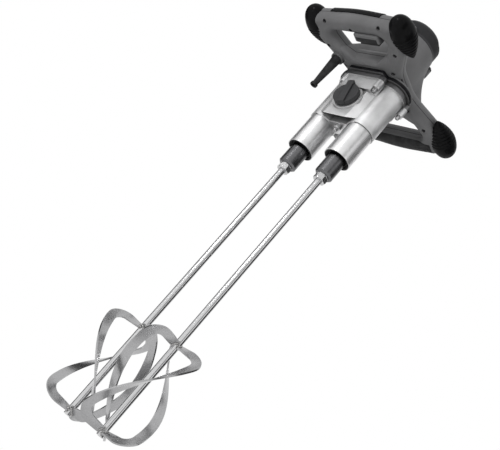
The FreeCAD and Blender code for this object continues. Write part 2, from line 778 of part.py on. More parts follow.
bolts = []
bolt_seats = [(x, y, boss_level, bolt_length) for x, y in bolt_places]
bolt_seats.append((zero, -S.web_boss_forward, web_boss_level, S.web_boss_drop * 2))
for i, (x, y, seat, length) in enumerate(bolt_seats):
    head = rod(f"case_bolt_{i}_head", S.bolt_head_diameter, S.bolt_head_height,
               (x, y, seat - S.bolt_head_height))
    shank = rod(f"case_bolt_{i}_shank", S.bolt_diameter, length, (x, y, seat))
    bolts.append(joined(f"case_bolt_{i}", head, shank))
case_bolts = doc.addObject("Part::Compound", "case_bolts")
case_bolts.Links = bolts
node("case_bolts", case_bolts)

# selector knob on the front of the case, with its grip bar and shaft
knob_front = S.case_front + S.knob_pad_height + S.knob_gap
knob_disc = rod("knob_disc", S.knob_diameter, S.knob_height, (zero, -knob_front, knob_level), facing_front)
knob_face = knob_front + S.knob_height + S.knob_bar_height
knob_bar = block("knob_bar", S.knob_bar_width, S.knob_height / 2 + S.knob_bar_height,
                 S.knob_diameter / 2 + S.knob_bar_reach,
                 (-S.knob_bar_width / 2, -knob_face, knob_level - S.knob_diameter / 2))
bar_reach = rod("knob_bar_trim", S.knob_bar_reach * 2, S.knob_height + S.knob_bar_height,
                (zero, -knob_front, knob_level), facing_front)
trimmed_bar = doc.addObject("Part::Common", "knob_bar_round")
trimmed_bar.Base = knob_bar
trimmed_bar.Tool = bar_reach
shaft_depth = S.case_wall - S.lip_gap
knob_shaft = rod("knob_shaft", S.knob_shaft_diameter, S.knob_pad_height + shaft_depth + S.knob_gap,
                 (zero, -S.case_front + shaft_depth, knob_level), facing_front)
upright_knob = joined("upright_knob", knob_disc, trimmed_bar, knob_shaft)
doc.recompute()
knob_shape = upright_knob.Shape.copy()
knob_shape.rotate(Vector(0, 0, float(knob_level)), Vector(0, 1, 0), -float(S.knob_turn_degrees))
node("selector_knob", shaped("selector_knob", knob_shape))


# housing: a handle frame with two D openings round a motor barrel, split level with the grips
def frame_outline(grow, level):
    waist = float(S.waist_half_width) + grow
    waist_end = float(S.waist_half_length)
    wide = float(S.corner_half_width) + grow
    shoulder = float(S.shoulder_half_length)
    deep = float(S.corner_half_length) + grow
    bow = deep + float(S.grip_bow)
    waist_round = float(S.waist_radius) - grow
    shoulder_round = float(S.shoulder_radius) + grow
    corner_round = float(S.corner_radius) + grow
    bow_round = float(S.grip_bow_radius) + grow
    quarter = [(waist, waist_end, waist_round), (wide, shoulder, shoulder_round),
               (wide, deep, corner_round)]
    corners = quarter + [(0, bow, bow_round)]
    corners += [(-x, y, radius) for x, y, radius in reversed(quarter)]
    corners += [(-x, -y, radius) for x, y, radius in quarter]
    corners += [(0, -bow, bow_round)]
    corners += [(x, -y, radius) for x, y, radius in reversed(quarter)]
    return rounded_wire(corners, level)


def opening_outline(sign, grow, level):
    far = float(S.corner_half_length + S.grip_bow - S.grip_depth) + grow
    near = float(S.opening_root) - grow
    wide = float(S.opening_half_width) + grow
    root = float(S.opening_root_half_width) + grow
    radius = float(S.opening_radius) + grow
    corners = [(wide, sign * far, radius), (root, sign * near, radius), (-root, sign * near, radius),
               (-wide, sign * far, radius)]
    return rounded_wire(corners, level)


def frame_solid(grow, rounding):
    level = float(frame_level) - grow
    height = float(S.frame_height) + grow * 2
    solid = slab(frame_outline(grow, level), height)
    for sign in (-1, 1):
        solid = solid.cut(slab(opening_outline(sign, -grow, level), height))
    return solid.makeFillet(rounding, level_edges(solid))


frame_z = float(frame_level)
frame_top = float(frame_level + S.frame_height)
parting_z = float(parting_level)
wall = float(S.shell_wall)
rounding_limit_share = 0.44
rounding = min(float(S.frame_rounding), float(S.frame_height) * rounding_limit_share,
               float(S.grip_depth) * rounding_limit_share)
overrun = float(S.overrun)
far_out = float(S.corner_half_length + S.corner_half_width)
barrel_radius = float(S.barrel_diameter / 2)
cap_radius = float(S.cap_diameter / 2)
motor_radius = float(motor_diameter / 2)
shoulder_z = float(barrel_shoulder)
barrel_z = float(barrel_top)
cover_top_z = float(cover_top)
skirt_z = float(case_top + S.gasket_thickness)
skirt_top_z = skirt_z + float(S.skirt_height)

frame = frame_solid(0, rounding)
hollow = frame_solid(-wall, rounding - wall)
arm_direction = math.radians(float(S.saddle_arm_degrees))
arm_spread = math.radians(float(S.saddle_spread_degrees))
saddle_steps = 6
saddle_points = 48
foot_reach_share = 0.25


def saddle_outline(level, core, reach):
    # A round outline that swells towards the four handle arms.
    points = []
    for i in range(saddle_points):
        angle = 2 * math.pi * i / saddle_points
        aside = math.atan2(abs(math.sin(angle)), abs(math.cos(angle))) - arm_direction
        radius = core + reach * math.exp(-(aside / arm_spread) ** 2)
        points.append(Vector(radius * math.cos(angle), radius * math.sin(angle), level))
    curve = Part.BSplineCurve()
    curve.interpolate(points, PeriodicFlag=True)
    return Part.Wire(curve.toShape())


# the upper body is lofted: four arms rise out of the handles and run together into the motor barrel
saddle_rings = [saddle_outline(frame_z, barrel_radius, float(S.saddle_reach) * foot_reach_share)]
for i in range(saddle_steps + 1):
    climb_share = i / saddle_steps
    saddle_rings.append(saddle_outline(parting_z + (barrel_z - parting_z) * climb_share,
                                       barrel_radius + (cap_radius - barrel_radius) * climb_share,
                                       float(S.saddle_reach) * (1 - climb_share) ** 2))
saddle = Part.makeLoft(saddle_rings, True, False)
margin = float(S.skirt_margin)
lobe_x = float(half_spacing)


def case_plan(grow, level, height):
    lobe = float(S.lobe_diameter / 2) + grow
    corners = web_corners(as_dim(grow), *upper_plan)
    solid = slab(along([(float(x), float(y), level) for x, y in corners]), height)
    for sign in (-1, 1):
        solid = solid.fuse(cylinder(lobe, height, sign * lobe_x, 0, level))
    return solid.removeSplitter()


skirt = case_plan(margin, skirt_z, float(S.skirt_height) + wall)
outer = frame.fuse([saddle, skirt])
trigger_level = frame_level + S.frame_height / 2 - S.trigger_drop
block_low = float(trigger_level - S.trigger_block_height / 2)
grip_inner = float(S.corner_half_length + S.grip_bow - S.grip_depth)
block_x = float(S.trigger_offset - S.trigger_block_length / 2)
trigger_block = box((block_x, block_x + float(S.trigger_block_length)),
                    (-grip_inner - wall * 2, -grip_inner + float(S.trigger_block_reach)),
                    (block_low, block_low + float(S.trigger_block_height)))
trigger_block = trigger_block.makeFillet(wall, trigger_block.Edges)
socket_radius = float(S.guard_root_diameter / 2 + S.socket_wall)
socket_z = frame_z - float(S.socket_depth)
guard_spot = (-float(S.guard_across), -float(S.guard_forward))
socket = cylinder(socket_radius, parting_z - socket_z, *guard_spot, socket_z)
# screw ears beside the cap, tapering into the barrel
ear_reach = (S.cap_diameter / 2) + S.ear_offset
ear_angle = math.radians(float(S.ear_degrees))
ear_x = ear_reach * math.cos(ear_angle)
ear_y = ear_reach * math.sin(ear_angle)
ear_places = [(ear_x * sx, ear_y * sy) for sx in (-1, 1) for sy in (-1, 1)]
ear_radius = float(S.ear_diameter / 2)
ear_half = float(S.ear_drop / 2)
ear_tip_share = 0.3
ears = []
for x, y in ear_places:
    spot = Vector(float(x), float(y), barrel_z - ear_half * 2)
    ears.append(Part.makeCone(ear_radius * ear_tip_share, ear_radius, ear_half, spot))
    ears.append(cylinder(ear_radius, ear_half, spot.x, spot.y, barrel_z - ear_half))
outer = outer.fuse([trigger_block, socket, *ears])

# screw columns tie the shells together from below
screw_quarter = [(S.corner_screw_across, S.corner_screw_along), (S.arm_screw_across, S.arm_screw_along),
                 (S.root_screw_across, S.root_screw_along)]
screw_places = [(sx * float(x), sy * float(y))
                for x, y in screw_quarter for sx in (-1, 1) for sy in (-1, 1)]
head_radius = float(S.screw_head_diameter / 2)
screw_radius = float(S.screw_diameter / 2)
head_seat_z = frame_z + float(S.frame_height / 4)
column_radius = float(S.screw_column_diameter / 2)
columns = [cylinder(column_radius, float(S.frame_height), x, y, frame_z) for x, y in screw_places]
screw_holes = []
for x, y in screw_places:
    screw_holes.append(cylinder(head_radius, head_seat_z - frame_z + overrun, x, y, frame_z - overrun))
    screw_holes.append(cylinder(screw_radius, float(S.screw_depth), x, y, head_seat_z))

room_z = cover_top_z + wall
motor_room = cylinder(motor_radius, shoulder_z - room_z, 0, 0, room_z)
neck_radius = cap_radius - wall * 2
motor_neck = cylinder(neck_radius, barrel_z - shoulder_z, 0, 0, shoulder_z)
bearing_way = cylinder(float(S.motor_bearing_diameter / 2), float(S.frame_height), 0, 0, skirt_z)
barrel_core = cylinder(motor_radius + wall, float(S.frame_height), 0, 0, frame_z)
# the hollow handles end at the barrel, the cord's socket and the columns
guard_core = cylinder(socket_radius, float(S.frame_height), *guard_spot, frame_z)
handle_room = hollow.cut(Part.makeCompound([barrel_core, guard_core, *columns]))
cover_room = case_plan(0, skirt_z, float(S.cover_thickness))
trigger_z = float(trigger_level - S.trigger_height / 2)
trigger_x = float(S.trigger_offset - S.trigger_length / 2)
gap = float(S.trigger_gap)
trigger_face_y = -grip_inner + float(S.trigger_block_reach + S.trigger_reach)
trigger_back_y = trigger_face_y - float(S.trigger_depth)
trigger_room = box((trigger_x - gap, trigger_x + float(S.trigger_length) + gap),
                   (trigger_back_y - float(S.trigger_travel) - gap, trigger_face_y),
                   (trigger_z - gap, trigger_z + float(S.trigger_height) + gap))
plunger_x = float(S.trigger_offset)
plunger_z = float(trigger_level)
plunger_reach = float(S.plunger_length + S.trigger_travel)
plunger_room = cylinder(float(S.plunger_diameter / 2 + S.trigger_gap), plunger_reach,
                        plunger_x, trigger_back_y, plunger_z, Vector(0, -1, 0))
vents = []
vent_half = float(S.side_vent_half_length)
for sign in (-1, 1):
    vent_span = sorted((sign * barrel_radius, sign * float(S.corner_half_width)))
    for step in range(2):
        low = skirt_top_z + wall + step * float(S.side_vent_pitch)
        vents.append(box(vent_span, (-vent_half, vent_half), (low, low + float(S.side_vent_height))))
guard_seat = cylinder(float(S.guard_root_diameter / 2), float(S.socket_depth), *guard_spot, socket_z)
housing = outer.cut(Part.makeCompound([handle_room]))
housing = housing.cut(Part.makeCompound([motor_room])).cut(motor_neck).cut(bearing_way).cut(cover_room)
housing = housing.cut(trigger_room).cut(plunger_room)
bolt_tops = [cylinder(float(S.bolt_diameter / 2), float(bolt_length), float(x), float(y), float(boss_level))
             for x, y in bolt_places]
ear_depth = float(S.cap_screw_depth - S.tab_thickness)
ear_holes = [cylinder(screw_radius, ear_depth, float(x), float(y), barrel_z - ear_depth)
             for x, y in ear_places]
for tool in screw_holes + vents + bolt_tops + ear_holes + [guard_seat]:
    housing = housing.cut(tool)
lower_half = box((-far_out, far_out), (-far_out, far_out), (0, parting_z))
upper_half = box((-far_out, far_out), (-far_out, far_out), (parting_z, barrel_z * 2))
node("lower_housing", shaped("lower_housing", housing.common(lower_half)))
upper = housing.common(upper_half)
node("upper_housing", shaped("upper_housing", upper))

screws = []
for x, y in screw_places:
    head = cylinder(head_radius, float(S.screw_head_height), x, y, head_seat_z - float(S.screw_head_height))
    shank = cylinder(screw_radius, float(S.screw_depth), x, y, head_seat_z)
    screws.append(head.fuse(shank))
node("housing_screws", shaped("housing_screws", Part.makeCompound(screws)))

# corner bumpers wrap the ends of the handles, and soft strips cover the outer tops of the grips
half_girth = float(S.bumper_half_width)
half_length = float(S.bumper_half_length)
rib_depth = float(S.bumper_rib_depth)
rib_width = float(S.bumper_rib_width)
lengthwise = Vector(0, 1, 0)
boot_curve = Part.Ellipse(Vector(0, half_length, 0), Vector(half_girth, 0, 0), Vector())
rib_total = int(driving_sizes["bumper_rib_count"])


def boot_girth(y):
    return half_girth * math.sqrt(1 - (y / half_length) ** 2)


# the half profile runs from the smooth tip down to the other end, dipping at each rib groove
boot_edges = []
land_top = half_length
for i in range(rib_total):
    high = float(S.bumper_rib_start) - float(S.bumper_rib_pitch) * i
    low = high - rib_width
    floor = boot_girth((high + low) / 2) - rib_depth
    boot_edges.append(Part.ArcOfEllipse(boot_curve, math.acos(land_top / half_length),
                                        math.acos(high / half_length)).toShape())
    dip = [Vector(boot_girth(high), high, 0), Vector(floor, high, 0), Vector(floor, low, 0),
           Vector(boot_girth(low), low, 0)]
    boot_edges += [Part.LineSegment(a, b).toShape() for a, b in zip(dip, dip[1:])]
    land_top = low
boot_edges.append(Part.ArcOfEllipse(boot_curve, math.acos(land_top / half_length), math.pi).toShape())
boot_edges.append(Part.LineSegment(Vector(0, -half_length, 0), Vector(0, half_length, 0)).toShape())
boot = Part.Face(Part.Wire(Part.__sortEdges__(boot_edges))).revolve(Vector(), lengthwise, 360)
boot.rotate(Vector(), Vector(0, 0, 1), float(S.bumper_toe_degrees))
boot.translate(Vector(float(S.bumper_across), float(S.bumper_along), parting_z))
boot = boot.cut(frame)
across = Vector(1, 0, 0)
node("rear_right_bumper", shaped("rear_right_bumper", boot))
node("rear_left_bumper", shaped("rear_left_bumper", boot.mirror(Vector(), across)))
node("front_right_bumper", shaped("front_right_bumper", boot.mirror(Vector(), lengthwise)))
front_left_boot = boot.mirror(Vector(), across).mirror(Vector(), lengthwise)
node("front_left_bumper", shaped("front_left_bumper", front_left_boot))

pad_grow = float(S.pad_thickness)
pad_blank = slab(frame_outline(pad_grow, frame_z - pad_grow), float(S.frame_height) + pad_grow * 2)
pad_blank = pad_blank.makeFillet(rounding + pad_grow, level_edges(pad_blank)).cut(frame)
pad_half = float(S.pad_half_length)
pad_y = float(S.corner_half_length + S.grip_bow - S.pad_depth)
for front, sy in (("front", -1), ("rear", 1)):
    region = box((-pad_half, pad_half), (min(sy * pad_y, sy * far_out), max(sy * pad_y, sy * far_out)),
                 (parting_z, frame_top + pad_grow))
    node(f"{front}_soft_grip", shaped(f"{front}_soft_grip", pad_blank.common(region)))

# trigger with its plunger, and the switch that it presses
trigger_body = box((trigger_x, trigger_x + float(S.trigger_length)), (trigger_back_y, trigger_face_y),
                   (trigger_z, trigger_z + float(S.trigger_height)))
front_edges = [edge for edge in trigger_body.Edges if edge.BoundBox.YMin > trigger_back_y + overrun]
trigger_body = trigger_body.makeFillet(wall, front_edges)
plunger = cylinder(float(S.plunger_diameter / 2), float(S.plunger_length),
                   plunger_x, trigger_back_y, plunger_z, Vector(0, -1, 0))
node("trigger", shaped("trigger", trigger_body.fuse(plunger)))
switch_front = trigger_back_y - float(S.trigger_travel) - wall
switch_x = plunger_x - float(S.switch_length / 2)
switch_body = box((switch_x, switch_x + float(S.switch_length)),
                  (switch_front - float(S.switch_depth), switch_front),
                  (plunger_z - float(S.switch_height / 2), plunger_z + float(S.switch_height / 2)))
# the switch fills the depth of the grip and rests on its back wall
node("switch_body", shaped("switch_body", switch_body.common(hollow).cut(plunger_room)))

# cord guard below the front left arm
guard_place = (-S.guard_across, -S.guard_forward, frame_level - S.guard_length)
node("cord_guard", turned("cord_guard", [
    (S.guard_bore / 2, zero),
    (S.guard_tip_diameter / 2, zero),
    (S.guard_tip_diameter / 2, S.guard_flange),
    (S.guard_tip_diameter / 2 - S.groove_depth * 2, S.guard_flange),
    (S.guard_root_diameter / 2, S.guard_length),
    (S.guard_bore / 2, S.guard_length),
], guard_place))

# motor end cap with its ring of vents and the seat of the top bearing
cap_inner = S.cap_diameter / 2 - S.cap_wall
seat_radius = S.motor_bearing_diameter / 2
seat_top = S.cap_height - S.cap_wall
seat_level = seat_top - S.motor_bearing_width
cap_top_radius = S.cap_top_diameter / 2
cap_body = turned("cap_body", [
    (zero, seat_top),
    (seat_radius, seat_top),
    (seat_radius, seat_level),
    (cap_top_radius - S.cap_wall - S.cap_rounding, seat_level),
    (cap_top_radius - S.cap_wall, seat_level - S.cap_rounding),
    (cap_inner, zero),
    (S.cap_diameter / 2, zero),
    (cap_top_radius, S.cap_height - S.cap_rounding),
    (cap_top_radius - S.cap_rounding / 3, S.cap_height - S.cap_rounding / 3),
    (cap_top_radius - S.cap_rounding, S.cap_height),
    (zero, S.cap_height),
], (zero, zero, barrel_top))
vent_total = int(driving_sizes["vent_count"])
slots = []
for i in range(vent_total):
    turn = Rotation(Vector(0, 0, 1), 360 * i / vent_total)
    slot = bound("Part::Box", f"cap_vent_{i}", (zero, zero, barrel_top + S.cap_wall * 2), turn,
                 Length=S.cap_diameter / 2 + S.overrun, Width=S.vent_width, Height=S.vent_height)
    slots.append(slot)
vent_core = rod("vent_core", (cap_top_radius - S.cap_wall * 2) * 2, S.cap_height, (zero, zero, barrel_top))
vent_ring = cut("vent_ring", joined("vent_fan", *slots), vent_core)
tabs = [rod(f"cap_tab_{i}", S.ear_diameter, S.tab_thickness, (x, y, barrel_top))
        for i, (x, y) in enumerate(ear_places)]
tab_holes = [rod(f"cap_tab_hole_{i}", S.screw_diameter, S.tab_thickness, (x, y, barrel_top))
             for i, (x, y) in enumerate(ear_places)]
node("motor_end_cap", cut("motor_end_cap", joined("cap_blank", cap_body, *tabs), vent_ring, *tab_holes))
tab_top = barrel_top + S.tab_thickness
cap_fasteners = []
for i, (x, y) in enumerate(ear_places):
    head = rod(f"cap_screw_{i}_head", S.screw_head_diameter, S.screw_head_height, (x, y, tab_top))
    shank = rod(f"cap_screw_{i}_shank", S.screw_diameter, S.cap_screw_depth,
                (x, y, tab_top - S.cap_screw_depth))
    cap_fasteners.append(joined(f"cap_screw_{i}", head, shank))
cap_screws = doc.addObject("Part::Compound", "cap_screws")
cap_screws.Links = cap_fasteners
node("cap_screws", cap_screws)

# motor: stator with its windings, the armature on its shaft, the fan and the brushes
stator_top = stator_level + stator_height
node("stator_core", tube("stator_core", motor_diameter, S.stator_bore, stator_height,
                         (zero, zero, stator_level)))
coil_outer = motor_diameter - S.case_wall * 2
coil_inner = S.stator_bore + S.case_wall
coils = doc.addObject("Part::Compound", "field_windings")
coils.Links = [tube("lower_coil", coil_outer, coil_inner, S.winding_height,
                    (zero, zero, stator_level - S.winding_height)),
               tube("upper_coil", coil_outer, coil_inner, S.winding_height, (zero, zero, stator_top))]
node("field_windings", coils)
shaft_bottom = first_level
stub = as_dim(motor_pin / 2)
shaft_top = barrel_top + seat_top
node("armature_shaft", turned("armature_shaft", [
    (zero, zero),
    (stub, zero),
    (stub, S.gear_width),
    (S.motor_shaft_diameter / 2, S.gear_width),
    (S.motor_shaft_diameter / 2, shaft_top - shaft_bottom),
    (zero, shaft_top - shaft_bottom),
], (zero, zero, shaft_bottom)))
core_diameter = S.stator_bore - S.air_gap * 2
node("armature_core", tube("armature_core", core_diameter, S.motor_shaft_diameter, stator_height,
                           (zero, zero, stator_level)))
wound = core_diameter - S.winding_height
turns = doc.addObject("Part::Compound", "armature_windings")
turns.Links = [tube("lower_turns", wound, S.motor_shaft_diameter, S.winding_height,
                    (zero, zero, stator_level - S.winding_height)),
               tube("upper_turns", wound, S.motor_shaft_diameter, S.winding_height,
                    (zero, zero, stator_top))]
node("armature_windings", turns)
node("commutator", tube("commutator", S.commutator_diameter, S.motor_shaft_diameter, S.commutator_height,
                        (zero, zero, commutator_level)))
fan_z = room_z + float(S.fan_gap)
fan_radius = float(fan_diameter / 2)
fan_shape = cylinder(fan_radius, float(S.fan_plate), 0, 0, fan_z)
fan_shape = fan_shape.fuse(cylinder(float(S.fan_hub_diameter / 2), float(S.fan_height), 0, 0, fan_z))
fan_total = int(driving_sizes["fan_blade_count"])
half_blade = float(S.fan_blade_thickness / 2)
for i in range(fan_total):
    vane = box((float(S.fan_hub_diameter) / 4, fan_radius - half_blade), (-half_blade, half_blade),
               (fan_z, fan_z + float(S.fan_height)))
    vane.rotate(Vector(), Vector(0, 0, 1), 360 * i / fan_total)
    fan_shape = fan_shape.fuse(vane)
fan_shape = fan_shape.cut(cylinder(float(S.motor_shaft_diameter / 2), float(S.fan_height), 0, 0, fan_z))
node("cooling_fan", shaped("cooling_fan", fan_shape.removeSplitter()))
motor_fit = S.motor_shaft_diameter + S.running_gap * 2
node("lower_motor_bearing", tube("lower_motor_bearing", S.motor_bearing_diameter, motor_fit,
                                 S.cover_thickness, (zero, zero, cover_level)))
node("upper_motor_bearing", tube("upper_motor_bearing", S.motor_bearing_diameter, motor_fit,
                                 S.motor_bearing_width, (zero, zero, barrel_top + seat_level)))
brush_z = float(commutator_level + S.commutator_height / 2)
half_brush = float(S.brush_width / 2)
brush_x = float(S.commutator_diameter / 2 + S.brush_gap)
brush_end = brush_x + float(S.brush_length)
holder_start = brush_x + float(S.holder_gap)
holder_half = half_brush + float(S.cap_wall / 2)
brushes = []
holders = []
for sign in (-1, 1):
    x_span = sorted((sign * brush_x, sign * brush_end))
    brush = box(x_span, (-half_brush, half_brush), (brush_z - half_brush, brush_z + half_brush))
    brushes.append(brush)
    x_span = sorted((sign * holder_start, sign * neck_radius * 2))
    holder = box(x_span, (-holder_half, holder_half), (brush_z - holder_half, brush_z + holder_half))
    holder = holder.common(cylinder(neck_radius, barrel_z, 0, 0, 0))
    holders.append(holder.cut(brush))
node("carbon_brushes", shaped("carbon_brushes", Part.makeCompound(brushes)))
node("brush_holders", shaped("brush_holders", Part.makeCompound(holders)))

doc.recompute()
for item in doc.Objects:
    if "Invalid" in item.State or "Error" in item.State:
        raise RuntimeError(f"{item.Name} failed to build")
for label, item in nodes.items():
    if item.Shape.isNull() or not item.Shape.isValid():
        raise RuntimeError(f"{label} has no valid solid")
os.makedirs("parts", exist_ok=True)
for label, item in nodes.items():
    item.Shape.exportStep(f"parts/{label}.step")
print(len(nodes), "pieces written")
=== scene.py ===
import math
import random

import bmesh
import bpy
from mathutils import Matrix, Vector


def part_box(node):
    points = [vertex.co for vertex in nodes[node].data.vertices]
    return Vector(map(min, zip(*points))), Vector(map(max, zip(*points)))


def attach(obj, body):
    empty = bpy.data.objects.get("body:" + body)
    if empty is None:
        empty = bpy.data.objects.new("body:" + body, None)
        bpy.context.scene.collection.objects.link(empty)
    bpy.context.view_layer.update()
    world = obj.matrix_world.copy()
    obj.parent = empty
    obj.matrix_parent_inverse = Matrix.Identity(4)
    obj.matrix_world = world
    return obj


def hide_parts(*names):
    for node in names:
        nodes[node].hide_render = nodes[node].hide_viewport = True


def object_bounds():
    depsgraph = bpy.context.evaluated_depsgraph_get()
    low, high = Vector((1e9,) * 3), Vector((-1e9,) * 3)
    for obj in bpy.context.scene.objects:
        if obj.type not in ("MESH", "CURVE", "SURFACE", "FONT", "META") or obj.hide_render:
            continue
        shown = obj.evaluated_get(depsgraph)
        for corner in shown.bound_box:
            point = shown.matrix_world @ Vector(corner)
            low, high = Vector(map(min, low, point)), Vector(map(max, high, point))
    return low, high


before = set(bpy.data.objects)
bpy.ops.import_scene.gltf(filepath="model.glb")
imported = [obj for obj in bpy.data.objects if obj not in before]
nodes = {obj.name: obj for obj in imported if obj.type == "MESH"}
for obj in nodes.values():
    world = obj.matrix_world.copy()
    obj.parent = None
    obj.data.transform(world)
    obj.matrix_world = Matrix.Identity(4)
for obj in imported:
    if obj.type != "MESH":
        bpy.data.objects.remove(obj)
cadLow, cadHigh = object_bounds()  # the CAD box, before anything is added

scene = bpy.context.scene
sides = {"left": -1, "right": 1}
ends = {"front": -1, "rear": 1}
print("frame loaded:", len(nodes), "nodes")

# shading helpers
midSpan = (0.3, 0.7)  # where most values of a noise lie
edgeLook = {"samples": 4, "sharp": 0.75, "flat": 0.97}
# the painted shade in the hollows: its samples, where it starts and how dark it gets
hollowShadeLook = {"samples": 4, "unshaded": 0.92, "shade": 0.3}


def startFinish(name, tone, metallic=0.0, specular=0.5, roughness=0.5):
    finish = bpy.data.materials.new(name)
    finish.use_nodes = True
    shader = finish.node_tree.nodes["Principled BSDF"]
    shader.inputs["Base Color"].default_value = (*tone, 1)
    shader.inputs["Roughness"].default_value = roughness
    shader.inputs["Metallic"].default_value = metallic
    shader.inputs["Specular IOR Level"].default_value = specular
    return finish, finish.node_tree, shader


def objectCoords(tree, stretch=None):
    coords = tree.nodes.new("ShaderNodeTexCoord")
    if stretch is None:
        return coords.outputs["Object"]
    mapping = tree.nodes.new("ShaderNodeMapping")
    mapping.inputs["Scale"].default_value = stretch
    tree.links.new(coords.outputs["Object"], mapping.inputs["Vector"])
    return mapping.outputs["Vector"]


def heightOf(tree, coords):
    parts = tree.nodes.new("ShaderNodeSeparateXYZ")
    tree.links.new(coords, parts.inputs["Vector"])
    return parts.outputs["Z"]


def noise(tree, coords, scale=1.0, detail=4.0, roughness=0.55):
    texture = tree.nodes.new("ShaderNodeTexNoise")
    texture.inputs["Scale"].default_value = scale
    texture.inputs["Detail"].default_value = detail
    texture.inputs["Roughness"].default_value = roughness
    tree.links.new(coords, texture.inputs["Vector"])
    return texture.outputs["Fac"]


def tint(tone, share):
    return tuple(min(1.0, part * share) for part in tone)


def toneRamp(tree, factor, tone, shares, span=midSpan):
    # goes from a darker to a paler share of one tone
    blend = tree.nodes.new("ShaderNodeValToRGB")
    for point, spot, share in zip(blend.color_ramp.elements, span, shares):
        point.position = spot
        point.color = (*tint(tone, share), 1)
    tree.links.new(factor, blend.inputs["Fac"])
    return blend.outputs["Color"]


def spread(tree, factor, low, high, start=0.0, end=1.0):
    span = tree.nodes.new("ShaderNodeMapRange")
    span.inputs["From Min"].default_value = start
    span.inputs["From Max"].default_value = end
    span.inputs["To Min"].default_value = low
    span.inputs["To Max"].default_value = high
    tree.links.new(factor, span.inputs["Value"])
    return span.outputs["Result"]


def compute(tree, kind, first, second=0.0):
    sums = tree.nodes.new("ShaderNodeMath")
    sums.operation = kind
    for socket, value in zip(sums.inputs, (first, second)):
        if isinstance(value, (int, float)):
            socket.default_value = value
        else:
            tree.links.new(value, socket)
    return sums.outputs["Value"]


def mixTone(tree, factor, first, second):
    mix = tree.nodes.new("ShaderNodeMix")
    mix.data_type = "RGBA"
    sockets = {socket.identifier: socket for socket in mix.inputs}
    tree.links.new(factor, sockets["Factor_Float"])
    for key, tone in (("A_Color", first), ("B_Color", second)):
        if isinstance(tone, tuple):
            sockets[key].default_value = (*tone, 1)
        else:
            tree.links.new(tone, sockets[key])
    return [socket for socket in mix.outputs if socket.identifier == "Result_Color"][0]


def rubbed(tree, shader, colour, radius, share, tone):
    # rounds the corners in shading and gives them the tone of rubbed material
    bevel = tree.nodes.new("ShaderNodeBevel")
    bevel.samples = edgeLook["samples"]
    bevel.inputs["Radius"].default_value = radius
    geometry = tree.nodes.new("ShaderNodeNewGeometry")
    compare = tree.nodes.new("ShaderNodeVectorMath")
    compare.operation = "DOT_PRODUCT"
    tree.links.new(bevel.outputs["Normal"], compare.inputs[0])
    tree.links.new(geometry.outputs["Normal"], compare.inputs[1])
    tree.links.new(bevel.outputs["Normal"], shader.inputs["Normal"])
    worn = spread(tree, compare.outputs["Value"], share, 0.0, edgeLook["sharp"], edgeLook["flat"])
    return mixTone(tree, worn, colour, tone)


def paintHollowShade(tree, colour, tone, reach, least):
    # paints shade into the hollows: the colour darkens where ambient occlusion finds the surface closed in
    hollow = tree.nodes.new("ShaderNodeAmbientOcclusion")
    hollow.samples = hollowShadeLook["samples"]
    hollow.inputs["Distance"].default_value = reach
    unshaded = spread(tree, hollow.outputs["AO"], 0.0, 1.0, least, hollowShadeLook["unshaded"])
    return mixTone(tree, unshaded, tint(tone, hollowShadeLook["shade"]), colour)


def bumpy(tree, shader, height, strength, depth):
    bump = tree.nodes.new("ShaderNodeBump")
    bump.inputs["Strength"].default_value = strength
    bump.inputs["Distance"].default_value = depth
    tree.links.new(height, bump.inputs["Height"])
    earlier = shader.inputs["Normal"].links
    if earlier:
        tree.links.new(earlier[0].from_socket, bump.inputs["Normal"])
    tree.links.new(bump.outputs["Normal"], shader.inputs["Normal"])


def seenDirectly(tree):
    # 1 for what the camera, the metal and clear pieces see, 0 for the light on the object
    path = tree.nodes.new("ShaderNodeLightPath")
    seen = compute(tree, "MAXIMUM", path.outputs["Is Camera Ray"], path.outputs["Is Glossy Ray"])
    return compute(tree, "MAXIMUM", seen, path.outputs["Is Transmission Ray"])


# moulded plastics: a soft cloud of tone, a fine spark-eroded grain, paler corners and painted shade in the
# hollows
plasticLook = {"specular": 0.16, "roughness": (0.46, 0.62), "cloud": 26.0, "cloudDetail": 3.0,
               "cloudTones": (0.9, 1.08), "corner": 0.0009, "rub": 0.45, "rubTone": 1.7,
               "hollowShadeReach": 0.04, "hollowShadeFrom": 0.12,
               "grain": 1500.0, "grainDetail": 2.0, "grainStrength": 0.3, "grainDepth": 0.0002}
seamLook = {"level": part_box("upper_housing")[0].z, "half": 0.00055, "tone": 0.1}


def mouldedPlastic(name, tone, corner=plasticLook["corner"], seam=None, look=plasticLook):
    finish, tree, shader = startFinish(name, tone, specular=look["specular"])
    coords = objectCoords(tree)
    cloud = noise(tree, coords, look["cloud"], look["cloudDetail"])
    colour = toneRamp(tree, cloud, tone, look["cloudTones"])
    colour = rubbed(tree, shader, colour, corner, look["rub"], tint(tone, look["rubTone"]))
    # painted shade, darker in the hollows
    colour = paintHollowShade(tree, colour, tone, look["hollowShadeReach"], look["hollowShadeFrom"])
    if seam:  # the parting line between the two shells
        away = compute(tree, "ABSOLUTE", compute(tree, "SUBTRACT", heightOf(tree, coords), seam["level"]))
        line = compute(tree, "LESS_THAN", away, seam["half"])
        colour = mixTone(tree, line, colour, tint(tone, seam["tone"]))
    tree.links.new(colour, shader.inputs["Base Color"])
    tree.links.new(spread(tree, cloud, *look["roughness"]), shader.inputs["Roughness"])
    grain = noise(tree, coords, look["grain"], look["grainDetail"])
    bumpy(tree, shader, grain, look["grainStrength"], look["grainDepth"])
    return finish


# rubber: nearly black, dulled by handling dust
rubberLook = {"specular": 0.04, "shine": 0.08, "shineRoughness": 0.12, "roughness": (0.4, 0.6),
              "dust": 70.0, "dustDetail": 5.0, "dustTones": (0.75, 1.8), "dustSpan": (0.4, 0.75),
              "grain": 1300.0, "grainDetail": 2.0, "grainStrength": 0.25, "grainDepth": 0.0002}


